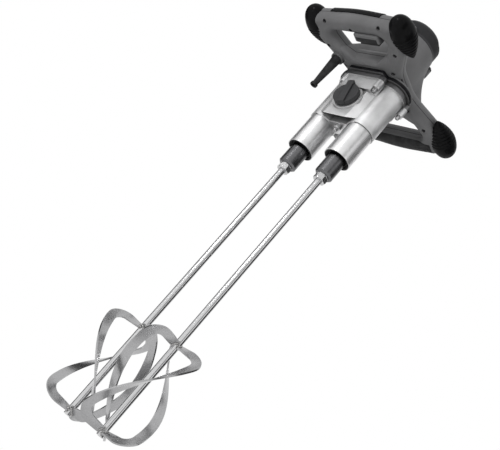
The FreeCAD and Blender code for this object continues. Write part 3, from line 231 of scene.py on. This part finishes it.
def mouldedRubber(name, tone, look=rubberLook):
    finish, tree, shader = startFinish(name, tone, specular=look["specular"])
    shader.inputs["Coat Weight"].default_value = look["shine"]
    shader.inputs["Coat Roughness"].default_value = look["shineRoughness"]
    coords = objectCoords(tree)
    dust = noise(tree, coords, look["dust"], look["dustDetail"])
    colour = toneRamp(tree, dust, tone, look["dustTones"], look["dustSpan"])
    tree.links.new(colour, shader.inputs["Base Color"])
    tree.links.new(spread(tree, dust, *look["roughness"], *midSpan), shader.inputs["Roughness"])
    grain = noise(tree, coords, look["grain"], look["grainDetail"])
    bumpy(tree, shader, grain, look["grainStrength"], look["grainDepth"])
    return finish


# cast aluminium: sand-blasted skin on the case, turned rings on the snouts, grey paint on the flange
castLook = {"tone": (0.77, 0.77, 0.775), "cloud": 30.0, "cloudDetail": 5.0, "cloudTones": (0.84, 1.1),
            "corner": 0.0016, "rub": 0.5, "rubTone": 1.3, "hollowShadeReach": 0.02, "hollowShadeFrom": 0.2,
            "flangeLow": 0.787, "flangeTone": (0.2, 0.2, 0.205),
            "skin": 520.0, "skinDetail": 3.0, "skinStrength": 0.3, "skinDepth": 0.0006,
            "skinRoughness": (0.42, 0.58), "turnedTop": 0.6912, "turnedRoughness": (0.34, 0.44),
            "rings": (3, 3, 900), "ringDetail": 2.0, "ringStrength": 0.12, "ringDepth": 0.0002}


def castMetal(name, look=castLook):
    tone = look["tone"]
    finish, tree, shader = startFinish(name, tone, metallic=1.0)
    coords = objectCoords(tree)
    height = heightOf(tree, coords)
    turned = compute(tree, "LESS_THAN", height, look["turnedTop"])
    cast = compute(tree, "SUBTRACT", 1.0, turned)
    painted = compute(tree, "GREATER_THAN", height, look["flangeLow"])
    cloud = noise(tree, coords, look["cloud"], look["cloudDetail"])
    rings = noise(tree, objectCoords(tree, look["rings"]), detail=look["ringDetail"])
    skin = noise(tree, coords, look["skin"], look["skinDetail"])
    colour = toneRamp(tree, cloud, tone, look["cloudTones"])
    colour = rubbed(tree, shader, colour, look["corner"], look["rub"], tint(tone, look["rubTone"]))
    colour = mixTone(tree, painted, colour, look["flangeTone"])
    # painted shade, darker in the hollows such as the valley between the snouts
    colour = paintHollowShade(tree, colour, tone, look["hollowShadeReach"], look["hollowShadeFrom"])
    tree.links.new(colour, shader.inputs["Base Color"])
    rough = compute(tree, "MULTIPLY", spread(tree, cloud, *look["skinRoughness"]), cast)
    smooth = compute(tree, "MULTIPLY", spread(tree, rings, *look["turnedRoughness"]), turned)
    tree.links.new(compute(tree, "ADD", rough, smooth), shader.inputs["Roughness"])
    bumpy(tree, shader, compute(tree, "MULTIPLY", skin, cast), look["skinStrength"], look["skinDepth"])
    bumpy(tree, shader, compute(tree, "MULTIPLY", rings, turned), look["ringStrength"], look["ringDepth"])
    return finish


# worked metals: streaks along the way they were drawn, ground or stacked
workedLook = {"contrast": 0.2, "paleShare": 0.6, "lineDetail": 3.0, "lineSpan": (0.3, 0.72), "cloud": 36.0,
              "rub": 0.7, "rubTone": 1.5, "bumpShare": 0.5, "bumpDepth": 0.0001}


def workedMetal(name, tone, roughness, streaks, corner=None, rubTone=None, contrast=workedLook["contrast"]):
    finish, tree, shader = startFinish(name, tone, metallic=1.0)
    lines = noise(tree, objectCoords(tree, streaks), detail=workedLook["lineDetail"])
    cloud = noise(tree, objectCoords(tree), workedLook["cloud"])
    shares = (1 - contrast, 1 + contrast * workedLook["paleShare"])
    colour = toneRamp(tree, lines, tone, shares, workedLook["lineSpan"])
    if corner:
        rubTone = rubTone or tint(tone, workedLook["rubTone"])
        colour = rubbed(tree, shader, colour, corner, workedLook["rub"], rubTone)
    tree.links.new(colour, shader.inputs["Base Color"])
    tree.links.new(spread(tree, cloud, *roughness, *midSpan), shader.inputs["Roughness"])
    bumpy(tree, shader, lines, contrast * workedLook["bumpShare"], workedLook["bumpDepth"])
    return finish


# the blades are rolled strip, rubbed by mortar: brushed lines, with scuffs and a dulled lower end
ribbonLook = {"tone": (0.42, 0.42, 0.425), "roughness": (0.22, 0.28),
              "lines": (900, 900, 220), "lineTones": (0.9, 1.06), "lineStrength": 0.03, "lineDepth": 0.0001,
              "scuff": 140.0, "scuffDetail": 6.0, "scuffRoughness": 0.7, "scuffSpan": (0.5, 0.75),
              "mortarTop": 0.2, "mortar": 0.14, "mortarTone": 0.45}


def ribbonSteel(name, look=ribbonLook):
    tone = look["tone"]
    finish, tree, shader = startFinish(name, tone, metallic=1.0)
    coords = objectCoords(tree)
    lines = noise(tree, objectCoords(tree, look["lines"]))
    scuffs = noise(tree, coords, look["scuff"], look["scuffDetail"], look["scuffRoughness"])
    colour = toneRamp(tree, lines, tone, look["lineTones"])
    dull = spread(tree, heightOf(tree, coords), look["mortar"], 0.0, 0.0, look["mortarTop"])
    dirt = compute(tree, "MULTIPLY", spread(tree, scuffs, 0.0, 1.0, *look["scuffSpan"]), dull)
    colour = mixTone(tree, dirt, colour, tint(tone, look["mortarTone"]))
    tree.links.new(colour, shader.inputs["Base Color"])
    tree.links.new(spread(tree, scuffs, *look["roughness"], *midSpan), shader.inputs["Roughness"])
    bumpy(tree, shader, lines, look["lineStrength"], look["lineDepth"])
    return finish


finishes = {
    "shell": mouldedPlastic("grey shell plastic", (0.18, 0.18, 0.183), corner=0.0012, seam=seamLook),
    "cap": mouldedPlastic("dark cap plastic", (0.042, 0.042, 0.044)),
    "knob": mouldedPlastic("knob plastic", (0.062, 0.062, 0.064)),
    "trigger": mouldedPlastic("trigger plastic", (0.028, 0.028, 0.029)),
    "inner": mouldedPlastic("inner black plastic", (0.025, 0.025, 0.026)),
    "boot": mouldedRubber("bumper rubber", (0.004, 0.004, 0.0044)),
    "sleeve": mouldedRubber("grip sleeve rubber", (0.035, 0.035, 0.036)),
    "guard": mouldedRubber("cord guard rubber", (0.03, 0.03, 0.031)),
    "seal": mouldedRubber("seal rubber", (0.008, 0.008, 0.009)),
    "cast": castMetal("cast aluminium"),
    "rod": workedMetal("drawn rod steel", (0.62, 0.62, 0.625), roughness=(0.12, 0.18),
                       streaks=(500, 500, 4), contrast=0.07),
    "ribbon": ribbonSteel("rolled ribbon steel"),
    "plated": workedMetal("zinc plated steel", (0.54, 0.54, 0.545), roughness=(0.18, 0.32),
                          streaks=(500, 500, 500), corner=0.0006),
    "weld": workedMetal("weld bead steel", (0.45, 0.445, 0.44), roughness=(0.25, 0.4),
                        streaks=(900, 900, 900)),
    "blackened": workedMetal("blackened steel", (0.15, 0.15, 0.155), roughness=(0.26, 0.38),
                             streaks=(60, 60, 1300), corner=0.0007, rubTone=(0.3, 0.3, 0.3)),
    "gear": workedMetal("ground gear steel", (0.42, 0.42, 0.43), roughness=(0.25, 0.4),
                        streaks=(700, 700, 30)),
    "iron": workedMetal("lamination iron", (0.2, 0.2, 0.21), roughness=(0.4, 0.6),
                        streaks=(20, 20, 2600)),
    "copper": workedMetal("enamelled copper", (0.72, 0.34, 0.15), roughness=(0.25, 0.4),
                          streaks=(60, 60, 1800)),
}
nodeFinishes = {
    "shell": ["lower_housing", "upper_housing"],
    "cap": ["motor_end_cap"],
    "knob": ["selector_knob"],
    "trigger": ["trigger"],
    "inner": ["switch_body", "brush_holders", "cooling_fan", "carbon_brushes"],
    "boot": ["front_left_bumper", "front_right_bumper", "rear_left_bumper", "rear_right_bumper",
             "front_soft_grip", "rear_soft_grip"],
    "guard": ["cord_guard"],
    "cast": ["gearbox_case", "gear_carrier", "gearbox_cover"],
    "rod": ["left_mixing_rod", "right_mixing_rod", "left_spindle", "right_spindle", "armature_shaft",
            "layshaft", "intermediate_shaft", "idler_pin"],
    "ribbon": ["left_paddle_blades", "right_paddle_blades"],
    "plated": ["left_lock_nut", "right_lock_nut", "case_bolts", "left_lower_bearing", "right_lower_bearing",
               "left_upper_bearing", "right_upper_bearing", "lower_motor_bearing", "upper_motor_bearing"],
    "blackened": ["left_chuck_collar", "right_chuck_collar", "housing_screws", "cap_screws"],
    "gear": ["left_spindle_gear", "right_spindle_gear", "idler_gear", "intermediate_pinion", "second_gear",
             "first_gear", "layshaft_pinion", "motor_pinion"],
    "iron": ["stator_core", "armature_core"],
    "copper": ["field_windings", "armature_windings", "commutator"],
    "seal": ["case_gasket", "left_spindle_seal", "right_spindle_seal"],
}
for finishName, members in nodeFinishes.items():
    for member in members:
        nodes[member].data.materials.clear()
        nodes[member].data.materials.append(finishes[finishName])
print("finishes set:", len(finishes))


# mesh helpers
def newPiece(name, points, faces, finishName, body, smooth=True):
    mesh = bpy.data.meshes.new(name)
    mesh.from_pydata(points, [], faces)
    mesh.validate()
    for face in mesh.polygons:
        face.use_smooth = smooth
    mesh.materials.append(finishes[finishName])
    piece = bpy.data.objects.new(name, mesh)
    scene.collection.objects.link(piece)
    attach(piece, body)
    return piece


def gridFaces(rows, columns, first=0, closedRows=True, closedColumns=True):
    # quads between rows of points; a closed grid joins its last row or column to its first
    faces = []
    for i in range(rows if closedRows else rows - 1):
        here = first + i * columns
        ahead = first + (i + 1) % rows * columns
        for j in range(columns if closedColumns else columns - 1):
            k = (j + 1) % columns
            faces.append((here + j, ahead + j, ahead + k, here + k))
    return faces


def flipped(faces):
    return [face[::-1] for face in faces]


def turnedPoints(profileAt, steps, centre):
    # one row of points for each step about Z; profileAt gives the radii and heights of the row at an angle
    points = []
    for i in range(steps):
        angle = 2 * math.pi * i / steps
        for radius, height in profileAt(angle):
            points.append((centre[0] + radius * math.cos(angle), centre[1] + radius * math.sin(angle),
                           centre[2] + height))
    return points


def hexReach(half, angle):
    # from the middle of a hexagon to its side
    sixth = math.pi / 3
    return half / math.cos((angle + sixth / 2) % sixth - sixth / 2)


def middleOf(node):
    low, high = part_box(node)
    return (low + high) / 2


rodMiddle = {side: middleOf(f"{side}_mixing_rod").x for side in sides}

# corner boots: a full smooth tip and a ribbed root that thins out along the handle frame
bootLook = {"halfLength": 0.045, "across": 0.099, "toe": 3.0, "thinnest": 0.0004,
            "widest": 0.1, "tipPower": 2.5, "tipRound": 0.46, "rootPower": 1.5, "rootRound": 0.8,
            "ribStart": 0.006, "ribPitch": 0.0065, "ribWidth": 0.0026, "ribDepth": 0.0017, "ribCount": 7,
            "rings": 190, "steps": 88}


def bootRadius(look, halfWidth, along):
    place = along / look["halfLength"] - look["widest"]
    if place > 0:
        swell = (1 - min(1.0, place / (1 - look["widest"])) ** look["tipPower"]) ** look["tipRound"]
    else:
        swell = (1 - min(1.0, -place / (1 + look["widest"])) ** look["rootPower"]) ** look["rootRound"]
    radius = halfWidth * swell
    for i in range(look["ribCount"]):
        middle = look["ribStart"] - look["ribPitch"] * i - look["ribWidth"] / 2
        off = abs(along - middle) / look["ribWidth"]
        if off < 1:  # a rounded valley between two ribs
            radius -= look["ribDepth"] * swell * (1 + math.cos(math.pi * off)) / 2
    return max(look["thinnest"], radius)


def cornerBoot(name, sideways, endways, look=bootLook):
    low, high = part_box(name.replace("Boot", "_bumper"))
    centre = (low + high) / 2
    halfWidth = (high.z - low.z) / 2
    toe = math.radians(look["toe"])
    points = []
    for i in range(look["rings"] + 1):
        along = -look["halfLength"] * math.cos(math.pi * i / look["rings"])
        radius = bootRadius(look, halfWidth, along)
        for j in range(look["steps"]):
            angle = 2 * math.pi * j / look["steps"]
            across = radius * math.cos(angle)
            points.append(((across * math.cos(toe) - along * math.sin(toe) + look["across"]) * sideways,
                           (across * math.sin(toe) + along * math.cos(toe)) * endways + centre.y,
                           radius * math.sin(angle) + centre.z))
    faces = gridFaces(look["rings"] + 1, look["steps"], closedRows=False)
    if sideways * endways < 0:
        faces = flipped(faces)
    boot = newPiece(name, points, faces, "boot", "housing")
    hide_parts(name.replace("Boot", "_bumper"))


for end, endways in ends.items():
    for side, sideways in sides.items():
        cornerBoot(f"{end}_{side}Boot", sideways, endways)
print("corner boots built")

# thin skins that lie on the shells
skinLook = {"lift": 0.0006, "join": 0.00005}


def cutToBox(mesh, low, high):
    # keeps what lies between two corners, and None leaves a side open
    for axis in range(3):
        for limit, outward in ((low[axis], -1), (high[axis], 1)):
            if limit is not None:
                point, normal = Vector(), Vector()
                point[axis] = limit
                normal[axis] = outward
                everything = mesh.verts[:] + mesh.edges[:] + mesh.faces[:]
                bmesh.ops.bisect_plane(mesh, geom=everything, plane_co=point, plane_no=normal,
                                       clear_outer=True)


def shellSkin(name, shells, low, high, finishName, keep=None, look=skinLook):
    skin = bmesh.new()
    for shell in shells:
        skin.from_mesh(nodes[shell].data)
    cutToBox(skin, low, high)
    if keep:
        spare = [face for face in skin.faces if not keep(face)]
        bmesh.ops.delete(skin, geom=spare, context="FACES")
    bmesh.ops.remove_doubles(skin, verts=skin.verts[:], dist=look["join"])
    skin.normal_update()
    skin.verts.index_update()
    points = [vertex.co + vertex.normal * look["lift"] for vertex in skin.verts]
    faces = [[vertex.index for vertex in face.verts] for face in skin.faces]
    foot = {}  # where the rim of the skin meets the shell
    for edge in skin.edges:
        if edge.is_boundary:
            corner = edge.link_loops[0]
            first, second = corner.vert, corner.link_loop_next.vert
            for vertex in (first, second):
                if vertex.index not in foot:
                    foot[vertex.index] = len(points)
                    points.append(vertex.co.copy())
            faces.append([second.index, first.index, foot[first.index], foot[second.index]])
    skin.free()
    newPiece(name, points, faces, finishName, "housing")


# the soft sleeve on the rear hand grip
sleeveLook = {"start": 0.126, "half": 0.078}
shellSkin("rearGripSleeve", ("lower_housing", "upper_housing"),
          (-sleeveLook["half"], sleeveLook["start"], None), (sleeveLook["half"], None, None),
          "sleeve")

# a black band round the skirt above the gearbox: painted shadow standing in for the dark gap under the
# housing
skirtShadowLook = {"low": 0.7965, "high": 0.8045, "side": 0.09, "end": 0.056, "steep": 0.5}
shellSkin("skirtShadowBand", ("lower_housing",), (-skirtShadowLook["side"], -skirtShadowLook["end"], skirtShadowLook["low"]),
          (skirtShadowLook["side"], skirtShadowLook["end"], skirtShadowLook["high"]), "seal",
          keep=lambda face: abs(face.normal.z) < skirtShadowLook["steep"])

# a dark wear plate on the guide under the trigger
guideLook = {"left": 0.004, "right": 0.05, "outer": -0.1215, "inner": -0.1, "top": 0.8065,
             "facingDown": -0.3}
shellSkin("triggerGuidePlate", ("lower_housing",), (guideLook["left"], guideLook["outer"], None),
          (guideLook["right"], guideLook["inner"], guideLook["top"]), "trigger",
          keep=lambda face: face.normal.z < guideLook["facingDown"])
print("rubber skins and guide plate built")

# a black dome on the underside of the bar, beside the trigger: painted shade standing in for the dark of a
# recessed screw hole
holeShadeLook = {"place": (-0.005, -0.1345, 0.8047), "radius": 0.0036, "rise": 0.0016, "tip": 0.0001, "rows": 7,
            "steps": 48}
dome = []
for i in range(holeShadeLook["rows"] + 1):
    climb = math.pi / 2 * i / holeShadeLook["rows"]
    dome.append((holeShadeLook["radius"] * math.cos(climb) + holeShadeLook["tip"],
                 -holeShadeLook["rise"] * math.sin(climb)))
dome.append((holeShadeLook["tip"], 0.0))
points = turnedPoints(lambda angle: dome, holeShadeLook["steps"], holeShadeLook["place"])
faces = flipped(gridFaces(holeShadeLook["steps"], len(dome)))
newPiece("barHoleShade", points, faces, "seal", "housing")
print("bar plug built")

# a woven dust screen inside the vents of the motor cap
screenLook = {"low": 0.921, "high": 0.944, "radius": 0.0475, "weave": 0.00025, "rows": 40, "steps": 180}


def screenThreads(angle, look=screenLook):
    threads = []
    for j in range(look["rows"]):
        wave = look["weave"] * math.cos(look["steps"] / 2 * angle + math.pi * j)  # over and under by turns
        threads.append((look["radius"] + wave, (look["high"] - look["low"]) * j / (look["rows"] - 1)))
    return threads


points = turnedPoints(screenThreads, screenLook["steps"], (0, 0, screenLook["low"]))
faces = gridFaces(screenLook["steps"], screenLook["rows"], closedColumns=False)
newPiece("dustScreen", points, faces, "cap", "housing")
print("dust screen built")

# weld beads where the strips meet the rods
paddleLook = {"rodRadius": 0.0065, "foot": 0.009, "height": 0.176, "twist": 137.0, "phase": 21.7,
              "tilt": 34.0, "stripWidth": 0.016, "stripThickness": 0.003, "blades": 3}
beadLook = {"radius": 0.0019, "blobs": 7, "jitter": 0.22, "rise": 0.0004, "runShare": 0.86,
            "standShare": 0.62, "fineness": 2, "seed": 7}


def weldBeads(side, sign):
    chance = random.Random(beadLook["seed"] + sign)
    points, faces = [], []
    tilt = math.radians(paddleLook["tilt"])
    twist = math.radians(paddleLook["twist"])
    phase = math.radians(paddleLook["phase"])
    start = phase if sign > 0 else math.pi - phase + math.pi / paddleLook["blades"]
    run = paddleLook["stripWidth"] * beadLook["runShare"]
    stand = paddleLook["stripThickness"] * beadLook["standShare"]
    ball = bmesh.new()
    bmesh.ops.create_icosphere(ball, subdivisions=beadLook["fineness"], radius=1.0)
    ballPoints = [vertex.co.copy() for vertex in ball.verts]
    ballFaces = [[vertex.index for vertex in face.verts] for face in ball.faces]
    ball.free()
    for i in range(paddleLook["blades"]):
        top = start + i * 2 * math.pi / paddleLook["blades"]
        for angle, level in ((top, paddleLook["foot"] + paddleLook["height"]),
                             (top - sign * twist, paddleLook["foot"])):
            out = Vector((math.cos(angle), math.sin(angle), 0))
            around = Vector((-math.sin(angle), math.cos(angle), 0)) * sign
            across = around * math.cos(tilt) + Vector((0, 0, math.sin(tilt)))
            thick = out.cross(across)
            for face in (-1, 1):
                for blob in range(beadLook["blobs"]):
                    along = (blob / (beadLook["blobs"] - 1) - 0.5) * run
                    offset = along * math.cos(tilt)
                    reach = math.sqrt(max(0.0, paddleLook["rodRadius"] ** 2 - offset ** 2))
                    spot = Vector((rodMiddle[side], 0, level)) + out * (reach + beadLook["rise"])
                    spot += across * along + thick * face * stand
                    size = beadLook["radius"] * (1 + chance.uniform(-1, 1) * beadLook["jitter"])
                    first = len(points)
                    points += [tuple(spot + point * size) for point in ballPoints]
                    faces += [[first + index for index in corner] for corner in ballFaces]
    newPiece(f"{side}WeldBeads", points, faces, "weld", f"{side}_spindle")


for side, sign in sides.items():
    weldBeads(side, sign)
print("weld beads built")

# hex lock nuts with chamfered corners and a round washer face on top
nutLook = {"bore": 0.0066, "chamfer": 0.0022, "cornerShare": 1.15, "chamferShare": 0.13, "upperShare": 0.5,
           "washer": 0.0018, "washerRadius": 0.0121, "steps": 96}


def lockNut(side, look=nutLook):
    low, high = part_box(f"{side}_lock_nut")
    half = (high.y - low.y) / 2
    height = high.z - low.z
    seat = height - look["washer"]
    cuts = [(0.0, 1.0), (look["chamfer"], 0.0), (seat - look["chamfer"] / 2, 0.0),
            (seat, look["upperShare"])]

    def nutRow(angle):
        row = [(look["bore"], 0.0)]
        for level, share in cuts:
            widest = half * (look["cornerShare"] - look["chamferShare"] * share)
            row.append((min(hexReach(half, angle), widest), level))
        return row + [(look["washerRadius"], seat), (look["washerRadius"], height), (look["bore"], height)]

    points = turnedPoints(nutRow, look["steps"], (rodMiddle[side], 0, low.z))
    faces = gridFaces(look["steps"], len(points) // look["steps"])
    nut = newPiece(f"{side}LockNut", points, faces, "plated", f"{side}_spindle", smooth=False)
    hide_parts(f"{side}_lock_nut")


for side in sides:
    lockNut(side)

# dust lips of the spindle seals, folded over the ends of the snouts
lipLook = {"outer": 0.0248, "inner": 0.01795, "thickness": 0.0008, "dip": 0.0035, "seat": 0.0001,
           "bead": 0.0012, "beadShare": 1.3, "fold": 0.0026, "foldShare": 0.7, "back": 0.003, "steps": 96}


def lipOutline(look=lipLook):
    outer, inner, dip, thickness = look["outer"], look["inner"], look["dip"], look["thickness"]
    return [(outer - look["back"], dip), (inner, dip + thickness), (inner, dip),
            ((outer + inner) / 2, dip * look["foldShare"]), (outer - look["fold"], -thickness),
            (outer - look["bead"], -thickness * look["beadShare"]), (outer, -thickness),
            (outer, -look["seat"])]


lip = lipOutline()
for side in sides:
    snoutEnd = (rodMiddle[side], 0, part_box("gearbox_case")[0].z)
    points = turnedPoints(lambda angle: lip, lipLook["steps"], snoutEnd)
    newPiece(f"{side}DustLip", points, gridFaces(lipLook["steps"], len(lip)), "seal", "housing")
print("nuts and dust lips built")

# socket rims on the case bolts
boltLook = {"radius": 0.0042, "socket": 0.0023, "depth": 0.0016, "wallShare": 0.7, "roundShare": 0.9,
            "mouthShare": 1.08, "mouthDepthShare": 0.8, "steps": 36, "headLevel": 0.764,
            "corner": (0.039, 0.037), "ear": (0.068, 0.024), "web": (0, -0.008)}


def socketRim(points, faces, x, y, level, look=boltLook):
    def rimRow(angle):
        reach = hexReach(look["socket"], angle)
        return [(look["radius"], 0.0), (look["radius"], -look["depth"] * look["wallShare"]),
                (look["radius"] * look["roundShare"], -look["depth"]),
                (reach * look["mouthShare"], -look["depth"]),
                (reach, -look["depth"] * look["mouthDepthShare"]), (reach, 0.0)]

    first = len(points)
    points += turnedPoints(rimRow, look["steps"], (x, y, level))
    columns = (len(points) - first) // look["steps"]
    faces += flipped(gridFaces(look["steps"], columns, first, closedColumns=False))


points, faces = [], []
for sideways in sides.values():
    for endways in ends.values():
        socketRim(points, faces, boltLook["corner"][0] * sideways, boltLook["corner"][1] * endways,
                  boltLook["headLevel"])
    socketRim(points, faces, boltLook["ear"][0] * sideways, boltLook["ear"][1], boltLook["headLevel"])
socketRim(points, faces, *boltLook["web"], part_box("case_bolts")[0].z)
newPiece("caseBoltSockets", points, faces, "plated", "housing", smooth=False)

# crossed heads on the housing screws, which face down, and on the cap screws, which face up
screwLook = {"radius": 0.0038, "slot": 0.0006, "depth": 0.0009, "wallShare": 0.6, "roundShare": 0.9,
             "steps": 10, "places": [(0.062, 0.146), (0.077, 0.089), (0.056, 0.044)],
             "capReach": 0.054, "capAngle": 65.0}


def crossHead(points, faces, x, y, level, upward, look=screwLook):
    corner = Vector((look["slot"], look["slot"]))
    lowAngle = math.asin(look["slot"] / look["radius"])
    outline = [corner]
    for i in range(look["steps"] + 1):
        angle = lowAngle + (math.pi / 2 - 2 * lowAngle) * i / look["steps"]
        outline.append(Vector((math.cos(angle), math.sin(angle))) * look["radius"])
    layers = [(0.0, 1.0), (look["depth"] * look["wallShare"], 1.0), (look["depth"], look["roundShare"])]
    for quarter in range(4):  # four quarter pads leave a cross between them
        turn = math.pi / 2 * quarter
        first = len(points)
        for height, shrink in layers:
            for spot in outline:
                spot = corner + (spot - corner) * shrink
                points.append((x + spot.x * math.cos(turn) - spot.y * math.sin(turn),
                               y + spot.x * math.sin(turn) + spot.y * math.cos(turn),
                               level + height * upward))
        pad = flipped(gridFaces(len(layers), len(outline), first, closedRows=False))
        pad.append(tuple(range(len(points) - len(outline), len(points))))
        faces += pad if upward > 0 else flipped(pad)


points, faces = [], []
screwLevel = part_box("housing_screws")[0].z
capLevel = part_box("cap_screws")[1].z
capAngle = math.radians(screwLook["capAngle"])
capPlace = (screwLook["capReach"] * math.cos(capAngle), screwLook["capReach"] * math.sin(capAngle))
for sideways in sides.values():
    for endways in ends.values():
        for x, y in screwLook["places"]:
            crossHead(points, faces, x * sideways, y * endways, screwLevel, -1)
        crossHead(points, faces, capPlace[0] * sideways, capPlace[1] * endways, capLevel, 1)
newPiece("screwHeads", points, faces, "blackened", "housing", smooth=False)
print("bolt sockets and screw heads built")

# camera as in the photo: low at the front right, looking up along the tool
cameraLook = {"place": (1.17086, -1.09335, -0.19691), "lens": 72.448, "sensor": 36.0, "near": 0.01,
              "right": (0.68813, 0.38912, 0.61242), "up": (-0.24361, -0.67114, 0.70016),
              "back": (0.68347, -0.63099, -0.36704)}
cameraData = bpy.data.cameras.new("photoCamera")
cameraData.lens = cameraLook["lens"]
cameraData.sensor_width = cameraLook["sensor"]
cameraData.clip_start = cameraLook["near"]
camera = bpy.data.objects.new("photoCamera", cameraData)
scene.collection.objects.link(camera)
turn = Matrix([cameraLook["right"], cameraLook["up"], cameraLook["back"]]).transposed().to_4x4()
camera.matrix_world = Matrix.Translation(cameraLook["place"]) @ turn
scene.camera = camera

# soft studio lamps, placed about the object as seen in the picture: right, up, towards the camera
lampLooks = [
    {"name": "rightLamp", "offset": (1.7, -0.5, 1.65), "size": 0.9, "power": 13.0, "mirrored": False},
    {"name": "leftLamp", "offset": (-1.2, 1.45, 1.5), "size": 0.9, "power": 20.0, "mirrored": False},
    {"name": "glintLamp", "offset": (-0.5, 1.9, 0.9), "size": 0.3, "power": 7.0, "mirrored": True},
]
skyLook = {"strength": 1.3, "angle": 60.0}
middle = (cadLow + cadHigh) / 2
for look in lampLooks:
    data = bpy.data.lights.new(look["name"], "AREA")
    data.shape = "DISK"
    data.size = look["size"]
    data.energy = look["power"]
    lamp = bpy.data.objects.new(look["name"], data)
    scene.collection.objects.link(lamp)
    away = Vector()
    for axis, part in zip(("right", "up", "back"), look["offset"]):
        away += Vector(cameraLook[axis]) * part
    lamp.location = middle + away
    lamp.rotation_mode = "QUATERNION"
    lamp.rotation_quaternion = (-away).to_track_quat("-Z", "Y")
    lamp.visible_glossy = look["mirrored"]
skyData = bpy.data.lights.new("skyLamp", "SUN")  # soft light straight from above
skyData.energy = skyLook["strength"]
skyData.angle = math.radians(skyLook["angle"])
sky = bpy.data.objects.new("skyLamp", skyData)
scene.collection.objects.link(sky)
sky.visible_glossy = False
print("lamps set:", len(lampLooks) + 1)

# white surroundings for the camera and for reflections, softer light for the rest
worldLook = {"tone": (1, 1, 1), "ambient": 0.2, "white": 1.0}
world = bpy.data.worlds.new("studio")
scene.world = world
world.use_nodes = True
tree = world.node_tree
background = tree.nodes["Background"]
background.inputs["Color"].default_value = (*worldLook["tone"], 1)
tree.links.new(spread(tree, seenDirectly(tree), worldLook["ambient"], worldLook["white"]),
               background.inputs["Strength"])

# a pale floor under the rods, clear from below because the photo looks up from under it
floorLook = {"half": 15.0, "drop": 0.001, "tone": (0.55, 0.55, 0.55), "roughness": 0.9, "glow": 0.62}
floorMesh = bpy.data.meshes.new("floor")
half = floorLook["half"]
level = cadLow.z - floorLook["drop"]
floorCorners = [(-half, -half, level), (half, -half, level), (half, half, level), (-half, half, level)]
floorMesh.from_pydata(floorCorners, [], [(0, 1, 2, 3)])
floor = bpy.data.objects.new("floor", floorMesh)
scene.collection.objects.link(floor)
floorFinish, tree, shader = startFinish("pale floor", floorLook["tone"], roughness=floorLook["roughness"])
geometry = tree.nodes.new("ShaderNodeNewGeometry")
clear = tree.nodes.new("ShaderNodeBsdfTransparent")
choose = tree.nodes.new("ShaderNodeMixShader")
tree.links.new(geometry.outputs["Backfacing"], choose.inputs["Fac"])
glow = tree.nodes.new("ShaderNodeEmission")  # white to the eye, with no more light on the object
tree.links.new(compute(tree, "MULTIPLY", seenDirectly(tree), floorLook["glow"]), glow.inputs["Strength"])
lit = tree.nodes.new("ShaderNodeAddShader")
tree.links.new(shader.outputs["BSDF"], lit.inputs[0])
tree.links.new(glow.outputs["Emission"], lit.inputs[1])
tree.links.new(lit.outputs["Shader"], choose.inputs[1])
tree.links.new(clear.outputs["BSDF"], choose.inputs[2])
tree.links.new(choose.outputs["Shader"], tree.nodes["Material Output"].inputs["Surface"])
floorMesh.materials.append(floorFinish)
floor.visible_shadow = False

# dark cards about the studio, seen only as streaks in the metal, at angles from the camera's side
cardLooks = [
    {"name": "leftCard", "middle": -124.0, "spread": 20.0, "tone": (0.05, 0.05, 0.05)},
    {"name": "rightCard", "middle": 84.0, "spread": 30.0, "tone": (0.12, 0.12, 0.12)},
    {"name": "frontCard", "middle": 20.0, "spread": 9.0, "tone": (0.3, 0.3, 0.3)},
]
cardMake = {"distance": 1.2, "low": 0.0, "high": 1.65, "steps": 12, "roughness": 0.9, "weave": 40.0,
            "weaveTones": (0.8, 1.2)}
facing = math.atan2(cameraLook["back"][1], cameraLook["back"][0])
for look in cardLooks:
    finish, tree, shader = startFinish(look["name"], look["tone"], roughness=cardMake["roughness"])
    weave = noise(tree, objectCoords(tree), cardMake["weave"])
    tree.links.new(toneRamp(tree, weave, look["tone"], cardMake["weaveTones"]), shader.inputs["Base Color"])
    points = []
    for i in range(cardMake["steps"] + 1):
        angle = facing + math.radians(look["middle"] + look["spread"] * (2 * i / cardMake["steps"] - 1))
        points += [(cardMake["distance"] * math.cos(angle), cardMake["distance"] * math.sin(angle), height)
                   for height in (cardMake["low"], cardMake["high"])]
    faces = flipped(gridFaces(cardMake["steps"] + 1, 2, closedRows=False, closedColumns=False))
    mesh = bpy.data.meshes.new(look["name"])
    mesh.from_pydata(points, [], faces)
    mesh.materials.append(finish)
    card = bpy.data.objects.new(look["name"], mesh)
    scene.collection.objects.link(card)
    card.visible_camera = False
    card.visible_diffuse = False
    card.visible_shadow = False
print("floor and cards set")

scene.view_settings.view_transform = "Standard"
